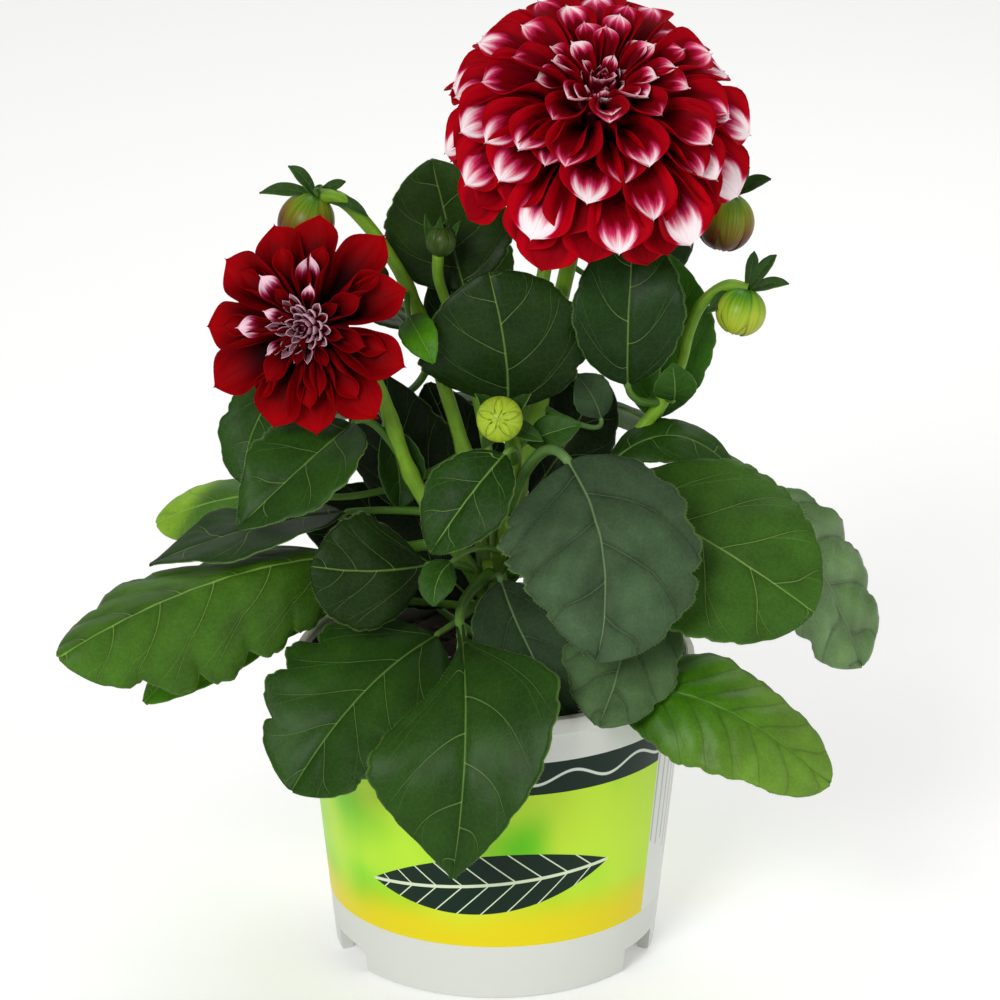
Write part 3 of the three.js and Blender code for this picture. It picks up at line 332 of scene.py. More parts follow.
def piece(name, parts, materials, node):
    """One object from parts laid end to end, with its point tints and corner coordinates."""
    start = np.cumsum([0] + [len(p.points) for p in parts])
    loops, sizes, finish, rib, skin = [], [], [], [], []
    for part, first in zip(parts, start):
        loops += [(part.quads + first).ravel(), (part.triangles + first).ravel()]
        sizes += [np.full(len(part.quads), 4), np.full(len(part.triangles), 3)]
        finish.append(np.full(len(part.quads) + len(part.triangles), part.finish))
        rib.append(part.rib)
        skin.append(part.skin)
    loops, sizes = np.concatenate(loops), np.concatenate(sizes)
    mesh = bpy.data.meshes.new(name)
    mesh.vertices.add(start[-1])
    mesh.vertices.foreach_set("co", np.vstack([p.points for p in parts]).ravel() * MM)
    mesh.loops.add(len(loops))
    mesh.loops.foreach_set("vertex_index", loops)
    mesh.polygons.add(len(sizes))
    mesh.polygons.foreach_set("loop_start", np.append(0, np.cumsum(sizes)[:-1]))
    mesh.polygons.foreach_set("loop_total", sizes)
    for material in materials:
        mesh.materials.append(material)
    mesh.polygons.foreach_set("material_index", np.concatenate(finish))
    for label, values in (("rib", rib), ("skin", skin)):
        layer = mesh.uv_layers.new(name=label)
        layer.data.foreach_set("uv", np.vstack(values).ravel())
    colour = mesh.color_attributes.new(name="tint", type="FLOAT_COLOR", domain="POINT")
    colour.data.foreach_set("color", np.vstack([p.tint for p in parts]).ravel())
    mesh.polygons.foreach_set("use_smooth", np.ones(len(sizes), bool))
    mesh.update()
    mesh.validate()
    thing = bpy.data.objects.new(name, mesh)
    bpy.context.scene.collection.objects.link(thing)
    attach(thing, "root")
    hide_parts(node)
    return thing


def cells(rows, columns):
    """Corner indices, anticlockwise, of each cell of a grid of rows x columns cells."""
    i, j = np.meshgrid(np.arange(rows), np.arange(columns), indexing="ij")
    a = (i * (columns + 1) + j).ravel()
    return np.stack([a, a + 1, a + columns + 2, a + columns + 1], axis=1)


def blade(upper, lower, tints, values, finish=0):
    """Closed thin blade between two grids of points: the upper cells, the lower ones turned
    over, and a strip round the edge. values holds (rib, skin) grids for the left and right."""
    rows, columns = upper.shape[0] - 1, upper.shape[1] - 1
    count = (rows + 1) * (columns + 1)
    top = cells(rows, columns)
    across = np.arange(columns)
    along = np.arange(rows) * (columns + 1)
    end = rows * (columns + 1)
    strip = np.vstack([np.stack(corners, axis=1) for corners in (
        (across + 1, across, across + count, across + 1 + count),
        (end + across, end + across + 1, end + across + 1 + count, end + across + count),
        (along, along + columns + 1, along + columns + 1 + count, along + count),
        (along + 2 * columns + 1, along + columns, along + columns + count,
         along + 2 * columns + 1 + count))])
    quads = np.vstack([top, top[:, ::-1] + count, strip])
    middle = (quads % count % (columns + 1)).mean(axis=1, keepdims=True) < columns / 2
    layers = []
    for left, right in values:
        flat = [side.reshape(-1, 2)[quads % count] for side in (left, right)]
        layers.append(np.where(middle[:, :, None], flat[0], flat[1]).reshape(-1, 2))
    points = np.vstack([upper.reshape(-1, 3), lower.reshape(-1, 3)])
    tint = np.vstack([np.broadcast_to(t, (rows + 1, columns + 1, 4)).reshape(-1, 4) for t in tints])
    return Part(points, quads, tint=tint, rib=layers[0], skin=layers[1], finish=finish)


def round_skin(count, sides):
    """Quads between count rings of points, and triangles from the first and the last ring to the
    two points that come after them."""
    i, j = np.meshgrid(np.arange(count - 1), np.arange(sides), indexing="ij")
    k = (j + 1) % sides
    quads = np.stack([i * sides + j, i * sides + k, (i + 1) * sides + k, (i + 1) * sides + j], axis=2)
    first, last = count * sides, (count - 1) * sides
    j, k = j[0], k[0]
    caps = np.vstack([np.stack([np.full(sides, first), k, j], axis=1),
                      np.stack([np.full(sides, first + 1), last + j, last + k], axis=1)])
    return quads.reshape(-1, 4), caps


def tube(centres, radii, sides, tint, finish=0, flute=0.0):
    """Round solid along a path: each ring is centre + r (N cos a + B sin a), where N and B are
    carried along without twist and r may swell by flute cos 5a. Closed by a point at each end."""
    count = len(centres)
    tangent = unit(np.gradient(centres, axis=0))
    normal = np.zeros_like(centres)
    aside = np.eye(3)[np.argmin(np.abs(tangent[0]))]
    for i in range(count):
        aside = aside - tangent[i] * (aside @ tangent[i])
        aside = aside / np.linalg.norm(aside)
        normal[i] = aside
    other = np.cross(tangent, normal)
    a = np.arange(sides) * 2 * math.pi / sides
    r = np.broadcast_to(radii, (count,))[:, None] * (1 + flute * np.cos(5 * a))
    ring = centres[:, None] + r[..., None] * (normal[:, None] * np.cos(a)[:, None]
                                              + other[:, None] * np.sin(a)[:, None])
    quads, caps = round_skin(count, sides)
    j = np.arange(sides)
    length = np.append(0, np.cumsum(np.linalg.norm(np.diff(centres, axis=0), axis=1)))
    turn = np.stack([np.broadcast_to(j, (count - 1, sides)),
                     np.broadcast_to(j + 1, (count - 1, sides))] * 2, 2)
    turn = turn[..., [0, 1, 1, 0]] / sides
    reach = np.stack([length[:-1], length[:-1], length[1:], length[1:]], axis=1)[:, None].repeat(sides, 1)
    skin = np.stack([turn, reach], axis=-1).reshape(-1, 2)
    skin = np.vstack([skin, np.zeros((caps.size, 2))])
    tint = np.asarray(tint, float)
    if tint.ndim == 2:
        tint = np.vstack([tint.repeat(sides, axis=0), tint[:1], tint[-1:]])
    points = np.vstack([ring.reshape(-1, 3), centres[:1], centres[-1:]])
    return Part(points, quads, caps, tint=tint, skin=skin, finish=finish)


def revolve(profile, segments, tint=None, finish=0, move=None):
    """Solid of revolution about Z: radius and height of each profile point, carried round by
    the angle a as (r cos a, r sin a, z). The profile starts and ends on the axis, and its
    first and last points are poles. Runs from the foot outwards and up, so faces look out."""
    profile = np.asarray(profile, float)
    rings = profile[1:-1]
    a = np.arange(segments) * 2 * math.pi / segments
    grid = np.stack([rings[:, :1] * np.cos(a), rings[:, :1] * np.sin(a),
                     np.broadcast_to(rings[:, 1:], (len(rings), segments))], axis=2)
    if move is not None:
        grid = move(grid)
    quads, caps = round_skin(len(rings), segments)
    points = np.vstack([grid.reshape(-1, 3), [[0, 0, profile[0, 1]], [0, 0, profile[-1, 1]]]])
    return Part(points, quads, caps, tint=tint, finish=finish)


def hairs(roots, ways, length, radius, tint):
    """Closed spikes of three sides, one from each root along its way: the corners of the foot are
    root + radius (A cos k + B sin k) for k = 0, 2 pi/3, 4 pi/3, and the point is root + length way."""
    count = len(roots)
    ways = unit(ways)
    aside = unit(np.cross(ways, np.where(np.abs(ways[:, 2:]) < 0.8, [[0, 0, 1.0]], [[1.0, 0, 0]])))
    other = np.cross(ways, aside)
    k = np.arange(3) * 2 * math.pi / 3
    foot = roots[:, None] + radius * (aside[:, None] * np.cos(k)[:, None]
                                      + other[:, None] * np.sin(k)[:, None])
    points = np.concatenate([foot, (roots + ways * length)[:, None]], axis=1)
    faces = np.array([(0, 1, 3), (1, 2, 3), (2, 0, 3), (0, 2, 1)]) + 4 * np.arange(count)[:, None, None]
    return Part(points, (), faces, tint=tint, finish=1)


def leaf_parts(leaf, thickness, name=""):
    """Blade and stalk of a leaf. On the blade, t runs from base to tip and v from edge to edge:
    P = C(t) + S v w cos f + N (|v| w sin f + ripple + relief), where C is the midrib, S and N
    point sideways and up from it, w is the half width, f the fold of each half, and relief
    sinks the midrib and the side veins and lifts the quilted blade between them."""
    half, wide, teeth = leaf["half"], leaf["wide"], leaf["teeth"]
    rows, columns = (76, 36) if half >= LARGE_LEAF else (56, 28) if half >= MIDDLING_LEAF else (32, 16)
    s = np.linspace(0, 1, rows + 1)[:, None, None]
    t = 0.5 * s + 0.5 * (0.5 - 0.5 * np.cos(math.pi * s))
    v = np.linspace(-1, 1, columns + 1)[None, :, None]
    v = np.sign(v) * np.abs(v) ** 1.15
    a = np.abs(v)
    centre, tangent = arc(leaf["base"], leaf["mid"], leaf["tip"], t)
    face = unit(np.array(leaf["face"], float))
    up = unit(face - tangent * dot(face, tangent))
    side = np.cross(tangent, up)
    wide = wide + leaf.get("skew", 0) * np.sign(v)
    x = np.where(t < wide, t / wide, (1 - t) / (1 - wide))
    outline = np.sin(math.pi / 2 * np.clip(x, 0, 1)) ** np.where(t < wide, *leaf["blunt"])
    notch = 1 - np.abs(np.sin(math.pi * teeth * t)) ** 0.7
    beat = math.pi * 5.3 * teeth * t + 1.3 * np.sign(v)
    fine = 0.016 * (np.sin(beat) + 0.5 * np.sin(2 * beat + 0.8)) * a ** 6
    width = half * outline * (1 - leaf["cut"] * notch + fine)
    width = np.maximum(width, min(1.2, half / 8))
    slope = np.radians(np.where(v < 0, *leaf["fold"])) * (0.55 + 0.45 * a)
    ripple = leaf["wave"] * np.sin(math.pi * (3 * t + 0.4 * np.sign(v))) * np.sin(math.pi * t) * a ** 2
    length = np.linalg.norm(np.subtract(leaf["tip"], leaf["base"]))
    pairs = max(3, round(length / (12 if leaf["kind"] == "quilted" else 19)))
    seed = sum(leaf["base"]) + sum(leaf["tip"])
    phases = []
    rise = 0.95 * half / length * (a * width / half) ** 1.1
    for shift in (0.08, 0.5):
        phase = pairs * 1.08 * (t - rise) + shift
        phases.append(phase + 0.1 * np.sin(5 * a + seed) + 0.1 * np.sin(7 * t + seed))
    phase = np.where(v < 0, *phases)
    quilt = QUILTED.get(name, 0.45) * min(1, half / 18)
    bulge = np.abs(np.cos(math.pi * phase)) ** 0.8 * (4 * a * (1 - a) + 0.05) ** 0.5
    small = np.sin(3 * math.pi * phase + 1) * np.sin(16 * a + seed) * np.sin(math.pi * t)
    relief = quilt * (bulge + 0.24 * small)
    relief -= min(0.9, half / 25) * np.exp(-(v * width / 1.1) ** 2) * (1 - 0.6 * t)
    relief += 0.5 * min(1, half / 18) * np.sin(9 * t + 4 * v + seed) * np.sin(math.pi * t) * a
    place = centre + side * v * width * np.cos(slope) + up * (a * width * np.sin(slope) + ripple + relief)
    along, across = np.gradient(place, axis=0), np.gradient(place, axis=1)
    normal = unit(np.cross(across, along))
    depth = thickness / 2 * (1 - 0.5 * a ** 8)
    upper, under, vein = LEAF_KINDS[leaf["kind"]]
    upper, under, vein = (linear(code) for code in (LEAF_TONES_AND_SHADE.get(name, upper), under, vein))
    tone = 1 + 0.10 * np.sin(6 * t + 2 * v + seed) * np.cos(4 * v - seed) + 0.12 * a * (t - 0.4)
    # Painted shade: each blade is darker towards its base, where the leaves crowd round the stem
    tone = tone * (0.68 + 0.32 * smooth(t, 0.0, 0.5))
    # Painted light and shade: the quilted bulges between the veins are lighter and the hollows darker
    top = upper * tone * (1 + 0.22 * quilt * (bulge - 0.5 + 0.4 * small))
    if leaf["kind"] == "quilted":
        ripe = 0.65 * smooth(t + 0.3 * a, 0.35, 1.05)
        top = top * (1 - ripe) + linear("#6C8E30") * ripe
    if name == "leaf_curled_left":
        turned = 0.85 * smooth(t + 0.16 * v, 0.66, 0.86)
        top = top * (1 - turned) + linear("#7FA82A") * turned
    low = under * tone
    top[..., 3], low[..., 3] = 1, 1
    grid = np.ones_like(t * v)
    rib = [np.concatenate([p * grid, a * grid], axis=2) for p in phases]
    skin = np.concatenate([v * width * (0.7 + 0.9 * t) * max(1, 12 / half), t * length * grid], axis=2)
    parts = [blade(place + normal * depth, place - normal * depth, (top, low), (rib, (skin, skin)))]

    base, root = np.array(leaf["base"], float), np.array(leaf["root"], float)
    control = base - tangent[0, 0] * 0.45 * np.linalg.norm(base - root)
    u = np.linspace(0, 1, 22)[:-1, None]
    stalk = (1 - u) ** 2 * root + 2 * u * (1 - u) * control + u ** 2 * base
    steps = np.linspace(0, rows * 0.86, 26).astype(int)
    thick = (1.4, 1.0, 0.35) if half >= MIDDLING_LEAF else (1.0, 0.7, 0.25)
    thick = (2.0, 1.5, 0.4) if half >= THICK_RIB else thick
    deep = np.interp(t[steps, 0, 0], (0, 0.12, 1), (0.4 * thick[1], 0.85 * thick[1], 0.8 * thick[2]))
    path = np.vstack([stalk, place[steps, columns // 2] - normal[steps, columns // 2] * deep[:, None]])
    radii = np.interp(np.arange(len(path)), (0, 3, 21, len(path) - 1), (thick[0] * 1.25, *thick))
    pale = np.linspace(0, 1, len(path))[:, None]
    tint = linear(SHADED_STALK_COLOUR) * (1 - pale) + vein * pale
    parts.append(tube(path, radii, 10, tint, finish=1))
    if half >= MIDDLING_LEAF:
        edge = np.arange(0.06 * rows, rows * 0.97, 0.36)
        low, mix = edge.astype(int), (edge % 1)[:, None]
        for j, way in ((0, -1), (columns, 1)):
            root = place[low, j] * (1 - mix) + place[low + 1, j] * mix
            sway = np.sin(97 * edge + seed)[:, None]
            lean = (way * unit(across[low, j]) + unit(along[low, j]) * (0.5 + 0.4 * sway)
                    + normal[low, j] * 0.5 * sway)
            parts.append(hairs(root, lean, 0.55 + 0.2 * sway, 0.05, linear(HAIR_COLOUR)))
    return parts


def petal_parts(bloom, row, azimuth, angle, length, reach, lean, curl, hem, rows=20, columns=14):
    """A petal: a spine that leaves the heart at angle - bend and turns out to angle, with the
    width w carried round an arc, P = C(t) + S w sin(r v)/r + I w (1 - cos(r v))/r, so that its
    edges roll up; ridges run along it and a small point ends it. reach is where white begins, lean
    tips the petal about its spine, curl adds to the roll, and hem whitens the edges, or reddens them
    where it is below 0."""
    half, roll, bend = row[3:]
    axis = unit(np.array(bloom["axis"], float))
    across = unit(np.array([1.0, 0, 0]) - axis * axis[0])
    up = np.cross(axis, across)
    seat = np.array(bloom["seat"], float)
    outward = across * math.cos(azimuth) + up * math.sin(azimuth)
    side = np.cross(axis, outward)

    def toward(degrees, far):
        tilt = math.radians(degrees)
        return seat + axis * far * math.cos(tilt) + outward * far * math.sin(tilt)

    start = bloom["heart"][1] if angle < 50 else bloom["core"] * 0.6
    s = np.linspace(0, 1, rows + 1)[:, None, None]
    t = 1 - (1 - s) ** 1.5
    v = np.linspace(-1, 1, columns + 1)[None, :, None]
    a = np.abs(v)
    from_, to = toward(angle - bend, start), toward(angle, length)
    through = toward(angle - 0.7 * bend, start + (length - start) * 0.55)
    centre, tangent = arc(from_, through, to, t)
    inner = unit(np.cross(tangent, side))
    claw, broad, tip = bloom["claw"], bloom["broad"], bloom["tip"]
    large, nested = bloom["core"] > 15, bloom["heart"][0] == 0
    x = np.where(t < broad,
                 claw + (1 - claw) * np.sin(math.pi / 2 * np.minimum(t / broad, 1)) ** 1.6,
                 np.cos(math.pi / 2 * np.clip((t - broad) / (1 - broad), 0, 1) ** tip))
    width = np.maximum(half * x, 0.15)
    r = math.radians(roll) * (1.2 - 0.5 * t) + curl * (1 - smooth(t, 0.55, 0.97))
    turned = side + inner * lean * t
    ridge = 0.16 * np.cos(3 * math.pi * v) * np.sin(math.pi * t) * min(1, half / 6)
    wave = 0.05 * half * np.sin(7 * t + 2 * np.sign(v) + azimuth * 3) * a ** 3 * t
    point = 0.9 * (1 - a) ** 2 * t ** 16 * min(1, half / 5)
    place = (centre + turned * width * np.sin(r * v) / r
             + inner * (width * (1 - np.cos(r * v)) / r + ridge + wave) + tangent * point)
    along, over = np.gradient(place, axis=0), np.gradient(place, axis=1)
    normal = unit(np.cross(over, along))
    depth = 0.28 * (1 - 0.5 * a ** 6) * (1 - 0.4 * t)
    grid = np.ones_like(t * v)
    flame = 0.32 * np.exp(-((a - 0.45) / 0.13) ** 2) + 0.2 * np.exp(-(a / 0.1) ** 2)
    margin = smooth(a, 0.5, 0.85) * (1 - smooth(t, 0.88, 1.0))
    blush = (t - reach) / 0.26 + flame * smooth(t, 0.3, 0.6) + hem * (margin if hem < 0 else a ** 1.5 * t)
    # Painted light and shade: lit brightens the rolled margins, gloom darkens the inner rows, and shade
    # darkens each petal towards its base
    lit = smooth(a, 0.45, 0.75) * smooth(t, 0.05, 0.35) * (0.95 if large else 0.55)
    gloom = min(1, 0.45 + angle / 150 if large else 0.1 + angle / 95)
    shade = np.maximum(smooth(t, 0.15, 1.0) * 0.6 if large else smooth(t, 0.32, 1.0) * 0.9,
                       lit) * gloom * grid
    tint = np.concatenate([shade, grid, grid, grid], axis=2)
    rib = np.concatenate([blush * grid, shade], axis=2)
    skin = np.concatenate([v * grid, t * grid * length / 10 + azimuth], axis=2)
    back = tint * np.array([1, min(1, 0.3 + angle / 28) if nested else 0.35, 1, 1])
    # Painted shade: over the heart the whorl's little petals are darker and less white
    if nested:
        tint = tint * np.array([0.6, 0.3, 1, 1])
    return blade(place + normal * depth, place - normal * depth, (back, tint), ((rib, rib), (skin, skin)))


def cup(centre, axis, radius, height, tint, finish):
    """An ellipsoid about axis through centre: radius sin p out and height cos p along it."""
    p = np.linspace(math.pi, 0, 17)[:, None]
    part = revolve(np.hstack([radius * np.sin(p), height * np.cos(p)]), 40, finish=finish)
    axis = unit(np.array(axis, float))
    aside = unit(np.cross(axis, np.eye(3)[np.argmin(np.abs(axis))]))
    part.points = np.array(centre) + part.points @ np.stack([aside, np.cross(axis, aside), axis])
    part.tint = np.broadcast_to(tint, (len(part.points), 4))
    return part


def scale_parts(neck, axis, radius, height, turn, spread, reach, lift, bulge, tints, finish=0):
    """A bract pressed to an ellipsoid: p = pi (0.05 + reach t) runs from neck to nose and the
    angle round it is turn + spread w(t) v, with w(t) = sin(pi (0.2 + 0.8 t)) to the power 0.7;
    it stands off the ellipsoid by lift + bulge (1 - v v)."""
    s = np.linspace(0, 1, 19)[:, None, None]
    v = np.linspace(-1, 1, 11)[None, :, None]
    p = math.pi * (0.05 + reach * s)
    w = np.sin(math.pi * (0.2 + 0.8 * s)).clip(1e-3) ** 0.7
    angle = turn + spread * w * v
    aside = np.eye(3)[0] if abs(axis[2]) > 0.8 else np.eye(3)[2]
    across = unit(aside - axis * (aside @ axis))
    third = np.cross(axis, across)
    out = lift * (0.4 + 0.6 * s) + bulge * (1 - v * v) * np.sin(math.pi * s) ** 0.5
    ring = (radius + out) * np.sin(p)
    place = (neck + axis * (height / 2 - (height / 2 + out) * np.cos(p))
             + across * ring * np.cos(angle) + third * ring * np.sin(angle))
    along, over = np.gradient(place, axis=0), np.gradient(place, axis=1)
    normal = unit(np.cross(along, over))
    if np.sum(dot(normal, place - (neck + axis * height / 2))) < 0:
        normal = -normal
        place, normal, v = place[:, ::-1], normal[:, ::-1], -v
    grid = np.ones_like(s * v)
    colours = np.stack([np.interp(s[:, 0, 0], np.linspace(0, 1, len(tints)), [c[k] for c in tints])
                        for k in range(4)], axis=1)[:, None]
    edge = np.abs(v) ** 6
    colours = colours * (1 - 0.35 * edge) * (1 + 0.08 * np.cos(9 * v))
    skin = np.concatenate([v * grid, s * grid * height / 10 + turn], axis=2)
    rib = np.concatenate([np.abs(v) * grid, s * grid], axis=2)
    if np.sum(dot(np.cross(place[1, 1] - place[1, 0], place[2, 0] - place[1, 0])[None],
                  normal[1, 0][None])) <= 0:
        place, normal = place[:, ::-1], normal[:, ::-1]
    depth = normal * SCALE_THICKNESS / 2
    return blade(place + depth, place - depth, (colours, colours), ((rib, rib), (skin, skin)), finish)


def bract_parts(root, tip, half, sag):
    """A small dark leaf from root to tip whose middle is lowered by sag, with the blade's formula."""
    root, tip = np.array(root, float), np.array(tip, float)
    mid = (root + tip) / 2 + np.array(sag, float)
    leaf = dict(root=root - 0.1, base=root, mid=mid, tip=tip, face=(0, -0.75, 0.65), half=half,
                wide=0.55, fold=(14, 14), wave=0.3, teeth=1, cut=0, blunt=(0.7, 0.85), kind="dark")
    part = leaf_parts(leaf, 0.7)[0]
    part.finish = 1
    return part


def bloom_parts(name):
    """The core and heart under the petals, the solid's rows of petals with white set by row,
    a tight whorl of little petals over the heart, and the green bracts below."""
    bloom = BLOOMS[name]
    large = name == "bloom_large"
    axis = unit(np.array(bloom["axis"], float))
    seat = np.array(bloom["seat"], float)
    # The core and heart take the petals' tint at full painted shade
    green, full_shade_tint = linear("#6B9A2C"), np.array([0.0, 1, 1, 1])
    core, heart, seed = bloom["core"], bloom["heart"], bloom["seed"]
    parts = [cup(seat, axis, core * 0.98, core * 0.54, full_shade_tint, 0),
             cup(seat - axis * core * 0.1, axis, core * 0.9, core * 0.5, green, 1),
             cup(seat + axis * heart[1], axis, heart[0] * 0.93, heart[0] * 0.93, full_shade_tint, 0)]
    turn, k = bloom["start"], 0
    # Row by row: where white begins, how far the edges curl, the hem, and the width as a multiple of
    # the solid's; 0 leaves a row out. Then looser rows are laid between and behind them
    whites = (0.84, 0.88, 0.90, 0.89, 0.84, 0.79, 1.6) if large else (0.8, 1.2, 1.5, 1.9)
    curls = (0.6, 0.8, 0.9, 0.9, 0.9, 0.8, 0.4) if large else (0.9, 1.3, 1.1, 0.8)
    hems = (0.3, 0.3, -0.3, -1.2, -1.6, -1.6, 0) if large else (0.3, 0.2, 0, 0)
    wider = (1, 1.1, 1.25, 1.3, 1.25, 1.2, 1.15) if large else (0, 0, 1.2, 1.2)
    rows = [(row[:3] + (row[3] * more,) + row[4:], *rest, 1.5)
            for row, more, *rest in zip(bloom["rows"], wider, whites, curls, hems)]
    if large:
        rows += [((9, 35, 37, 6, 70, 10), 0.89, 0.9, 0.1, 2),
                 ((11, 69, 44.5, 10, 55, 17), 0.86, 0.9, -1.4, 2),
                 ((11, 90, 45, 10, 40, 18), 1.6, 0.7, 0, 1),
                 ((13, 104, 45.5, 10, 32, 18), 1.6, 0.5, 0, 1)]
    else:
        rows += [((8, 42, 20, 4.4, 90, 8), 1.4, 1.5, 0, 2), ((9, 67, 29, 7, 80, 11), 1.7, 1.5, 0, 2)]
    for row, white, curl, hem, loose in rows:
        count, angle, length, half = row[:4]
        turn += 180 / count
        for i in range(count if half else 0):
            azimuth = math.radians(turn + 360 * i / count + 4 * loose * chance(seed, k))
            tilt = angle + 3 * loose * chance(seed + 1, k)
            far = length * (1 + 0.05 * chance(seed + 2, k))
            reach = white + 0.05 * chance(seed + 3, k)
            if not large and 30 < angle < 60 and max(math.cos(azimuth - 3.2),
                                                     math.cos(azimuth - 1.2) - 0.3) > 0.6:
                reach = 0.74
            lean = 0.2 * loose * chance(seed + 4, k)
            bent = curl * (1 + 0.25 * chance(seed + 7, k))
            parts.append(petal_parts(bloom, row, azimuth, tilt, far, reach, lean, bent, hem))
            k += 1
    # The whorl's rows: number, angle, length, half width, where white begins, bend
    whorl = ((5, 3, 25.5, 1.6, 1.0, -3), (8, 9, 25.5, 2, 0.94, -5), (10, 15, 26, 2.4, 0.88, -6),
             (12, 22, 27, 2.8, 0.82, 0)) if large else \
        ((4, 5, 13, 1.4, 0.9, -4), (7, 11, 14, 1.8, 0.6, -8), (9, 18, 15.5, 2.1, 0.45, -10),
         (11, 26, 17, 2.4, 0.4, -10), (12, 35, 18.5, 2.6, 0.55, -4))
    small = dict(bloom, heart=(0, heart[1] - 2))
    if not large:
        small["axis"] = (-0.3, -0.92, 0.18)
    for ring, (count, angle, length, half, white, bend) in enumerate(whorl):
        for i in range(count):
            azimuth = 2 * math.pi * (i + 0.5 * (ring % 2)) / count + 0.25 * chance(seed + 5, k)
            far = length * (1 + 0.05 * chance(seed + 6, k))
            row = (count, angle, far, half, 80, bend)
            parts.append(petal_parts(small, row, azimuth, angle, far, white, 0, 0.7, 0.3, rows=10,
                                     columns=8))
            k += 1
    tints = (linear("#4F7D22"), linear("#6E9E2F"), linear("#8DAA4A"))
    for i in range(8):
        parts.append(scale_parts(seat - axis * core * 0.56, axis, core * 0.98, core * 1.1,
                                 2 * math.pi * i / 8, 0.34, 0.42, 0.5, 0.5, tints, finish=1))
    return parts


# Colours of each bud from neck to nose, then the scales in a round and how far they bulge
BUD_TINTS = {
    "bud_left": ("#3A6A12", "#5E8414", "#7A6A16", "#5A2410", "#300A0A", "#240507"),
    "bud_right": ("#3E6A1C", "#6A8C1E", "#8A9426", "#7A4A18", "#4A1610", "#340E0A"),
    "bud_low_right": ("#2C6212", "#4E8C18", "#9CB02A", "#A2AE30", "#8E9628"),
    "bud_front": ("#6C9420", "#93B02C", "#A6C030", "#93AC2C"),
    "bud_high_left": ("#26380F", "#324817", "#3C521C", "#2C4012"),
}
BUD_SCALES = {"bud_left": (5, 0.06), "bud_right": (7, 0.2), "bud_low_right": (5, 0.14),
              "bud_front": (5, 0.08), "bud_high_left": (6, 0.3)}


def bud_parts(name):
    """A closed bud: an ellipsoid body, two rounds of scales pressed to it, and free bracts."""
    bud = BUDS[name]
    neck = np.array(bud["neck"], float)
    axis = np.array(bud["nose"], float) - neck
    height = float(np.linalg.norm(axis))
    axis = axis / height
    tints = [linear(code) for code in BUD_TINTS[name]]
    count, bulge = BUD_SCALES[name]
    parts = [cup(neck + axis * height / 2, axis, bud["radius"] * 0.96, height * 0.48, tints[2], 0)]
    knots = np.linspace(0, 1, len(tints))
    for ring, (reach, lift) in enumerate(((0.94, 0.0), (0.86, 0.35))):
        for i in range(count):
            turn = 2 * math.pi * (i + 0.5 * ring) / count
            later = (knots + 0.09 * math.sin(2.4 * i + 1.9 * ring)).clip(0, 1)
            own = np.stack([np.interp(later, knots, [tint[k] for tint in tints]) for k in range(4)],
                           axis=1)
            parts.append(scale_parts(neck, axis, bud["radius"] - 0.1, height, turn,
                                     1.25 * math.pi / count, reach, lift, bulge, list(own)))
    for reach, half in bud["bracts"]:
        reach = np.array(reach, float)
        root = neck + axis * 1.2
        sag = axis * -0.12 * np.linalg.norm(reach)
        parts.append(bract_parts(root, neck + reach, half, sag))
    return parts


def stem_parts(path, radii, bright=1.0):
    """A round stem along its curve that swells where leaves and side shoots leave it."""
    s = np.linspace(0, 1, 90)
    centres = spline(path, len(s))
    thick = np.interp(s, np.linspace(0, 1, len(radii)), radii)
    roots = np.array([leaf["root"] for leaf in LEAVES.values()]
                     + [shoot["path"][0] for shoot in SHOOTS.values()], float)
    near = np.linalg.norm(centres[:, None] - roots[None], axis=2).min(axis=1)
    thick = thick * (1 + 0.22 * np.exp(-(near / 3.2) ** 2))
    # Painted shade: each stem is darker towards its foot inside the crown, and bright dims a whole stem
    low = (1 - smooth(s, 0.0, 0.55))[:, None]
    tint = (linear("#6C9422") * (1 - low) + linear("#3F5A1C") * low) * bright
    tint[:, 3] = 1
    return [tube(centres, thick, 24, tint, flute=0.02)]


def pot_parts():
    """The pot's wall, floor and foot as a profile of radius and height turned about Z."""
    def wall(h):
        return 53 + 10 * h / 100

    z = np.linspace(9, 93, 43)
    inner = np.linspace(92, 10.8, 30)
    profile = [(0, 8), (48.2, 8), (48.7, 7.8), (49, 7.2), (49, 0.5), (49.5, 0), (52.2, 0), (52.8, 0.3),
               (53, 0.9), (53.35, 4), (53.62, 7)]
    profile += [(wall(h), h) for h in z] + [(62.5, 93.6), (62.9, 94.05), (64.2, 94.3), (64.6, 94.7),
                                            (64.75, 96), (65, 99), (64.9, 99.6), (64.3, 100), (62.8, 100),
                                            (62.3, 99.6), (62.2, 98.5), (60.9, 94.2)]
    profile += [(wall(h) - 1.8, h) for h in inner] + [(51.8, 10.2), (51.2, 10), (0, 10)]
    return revolve(profile, 192)


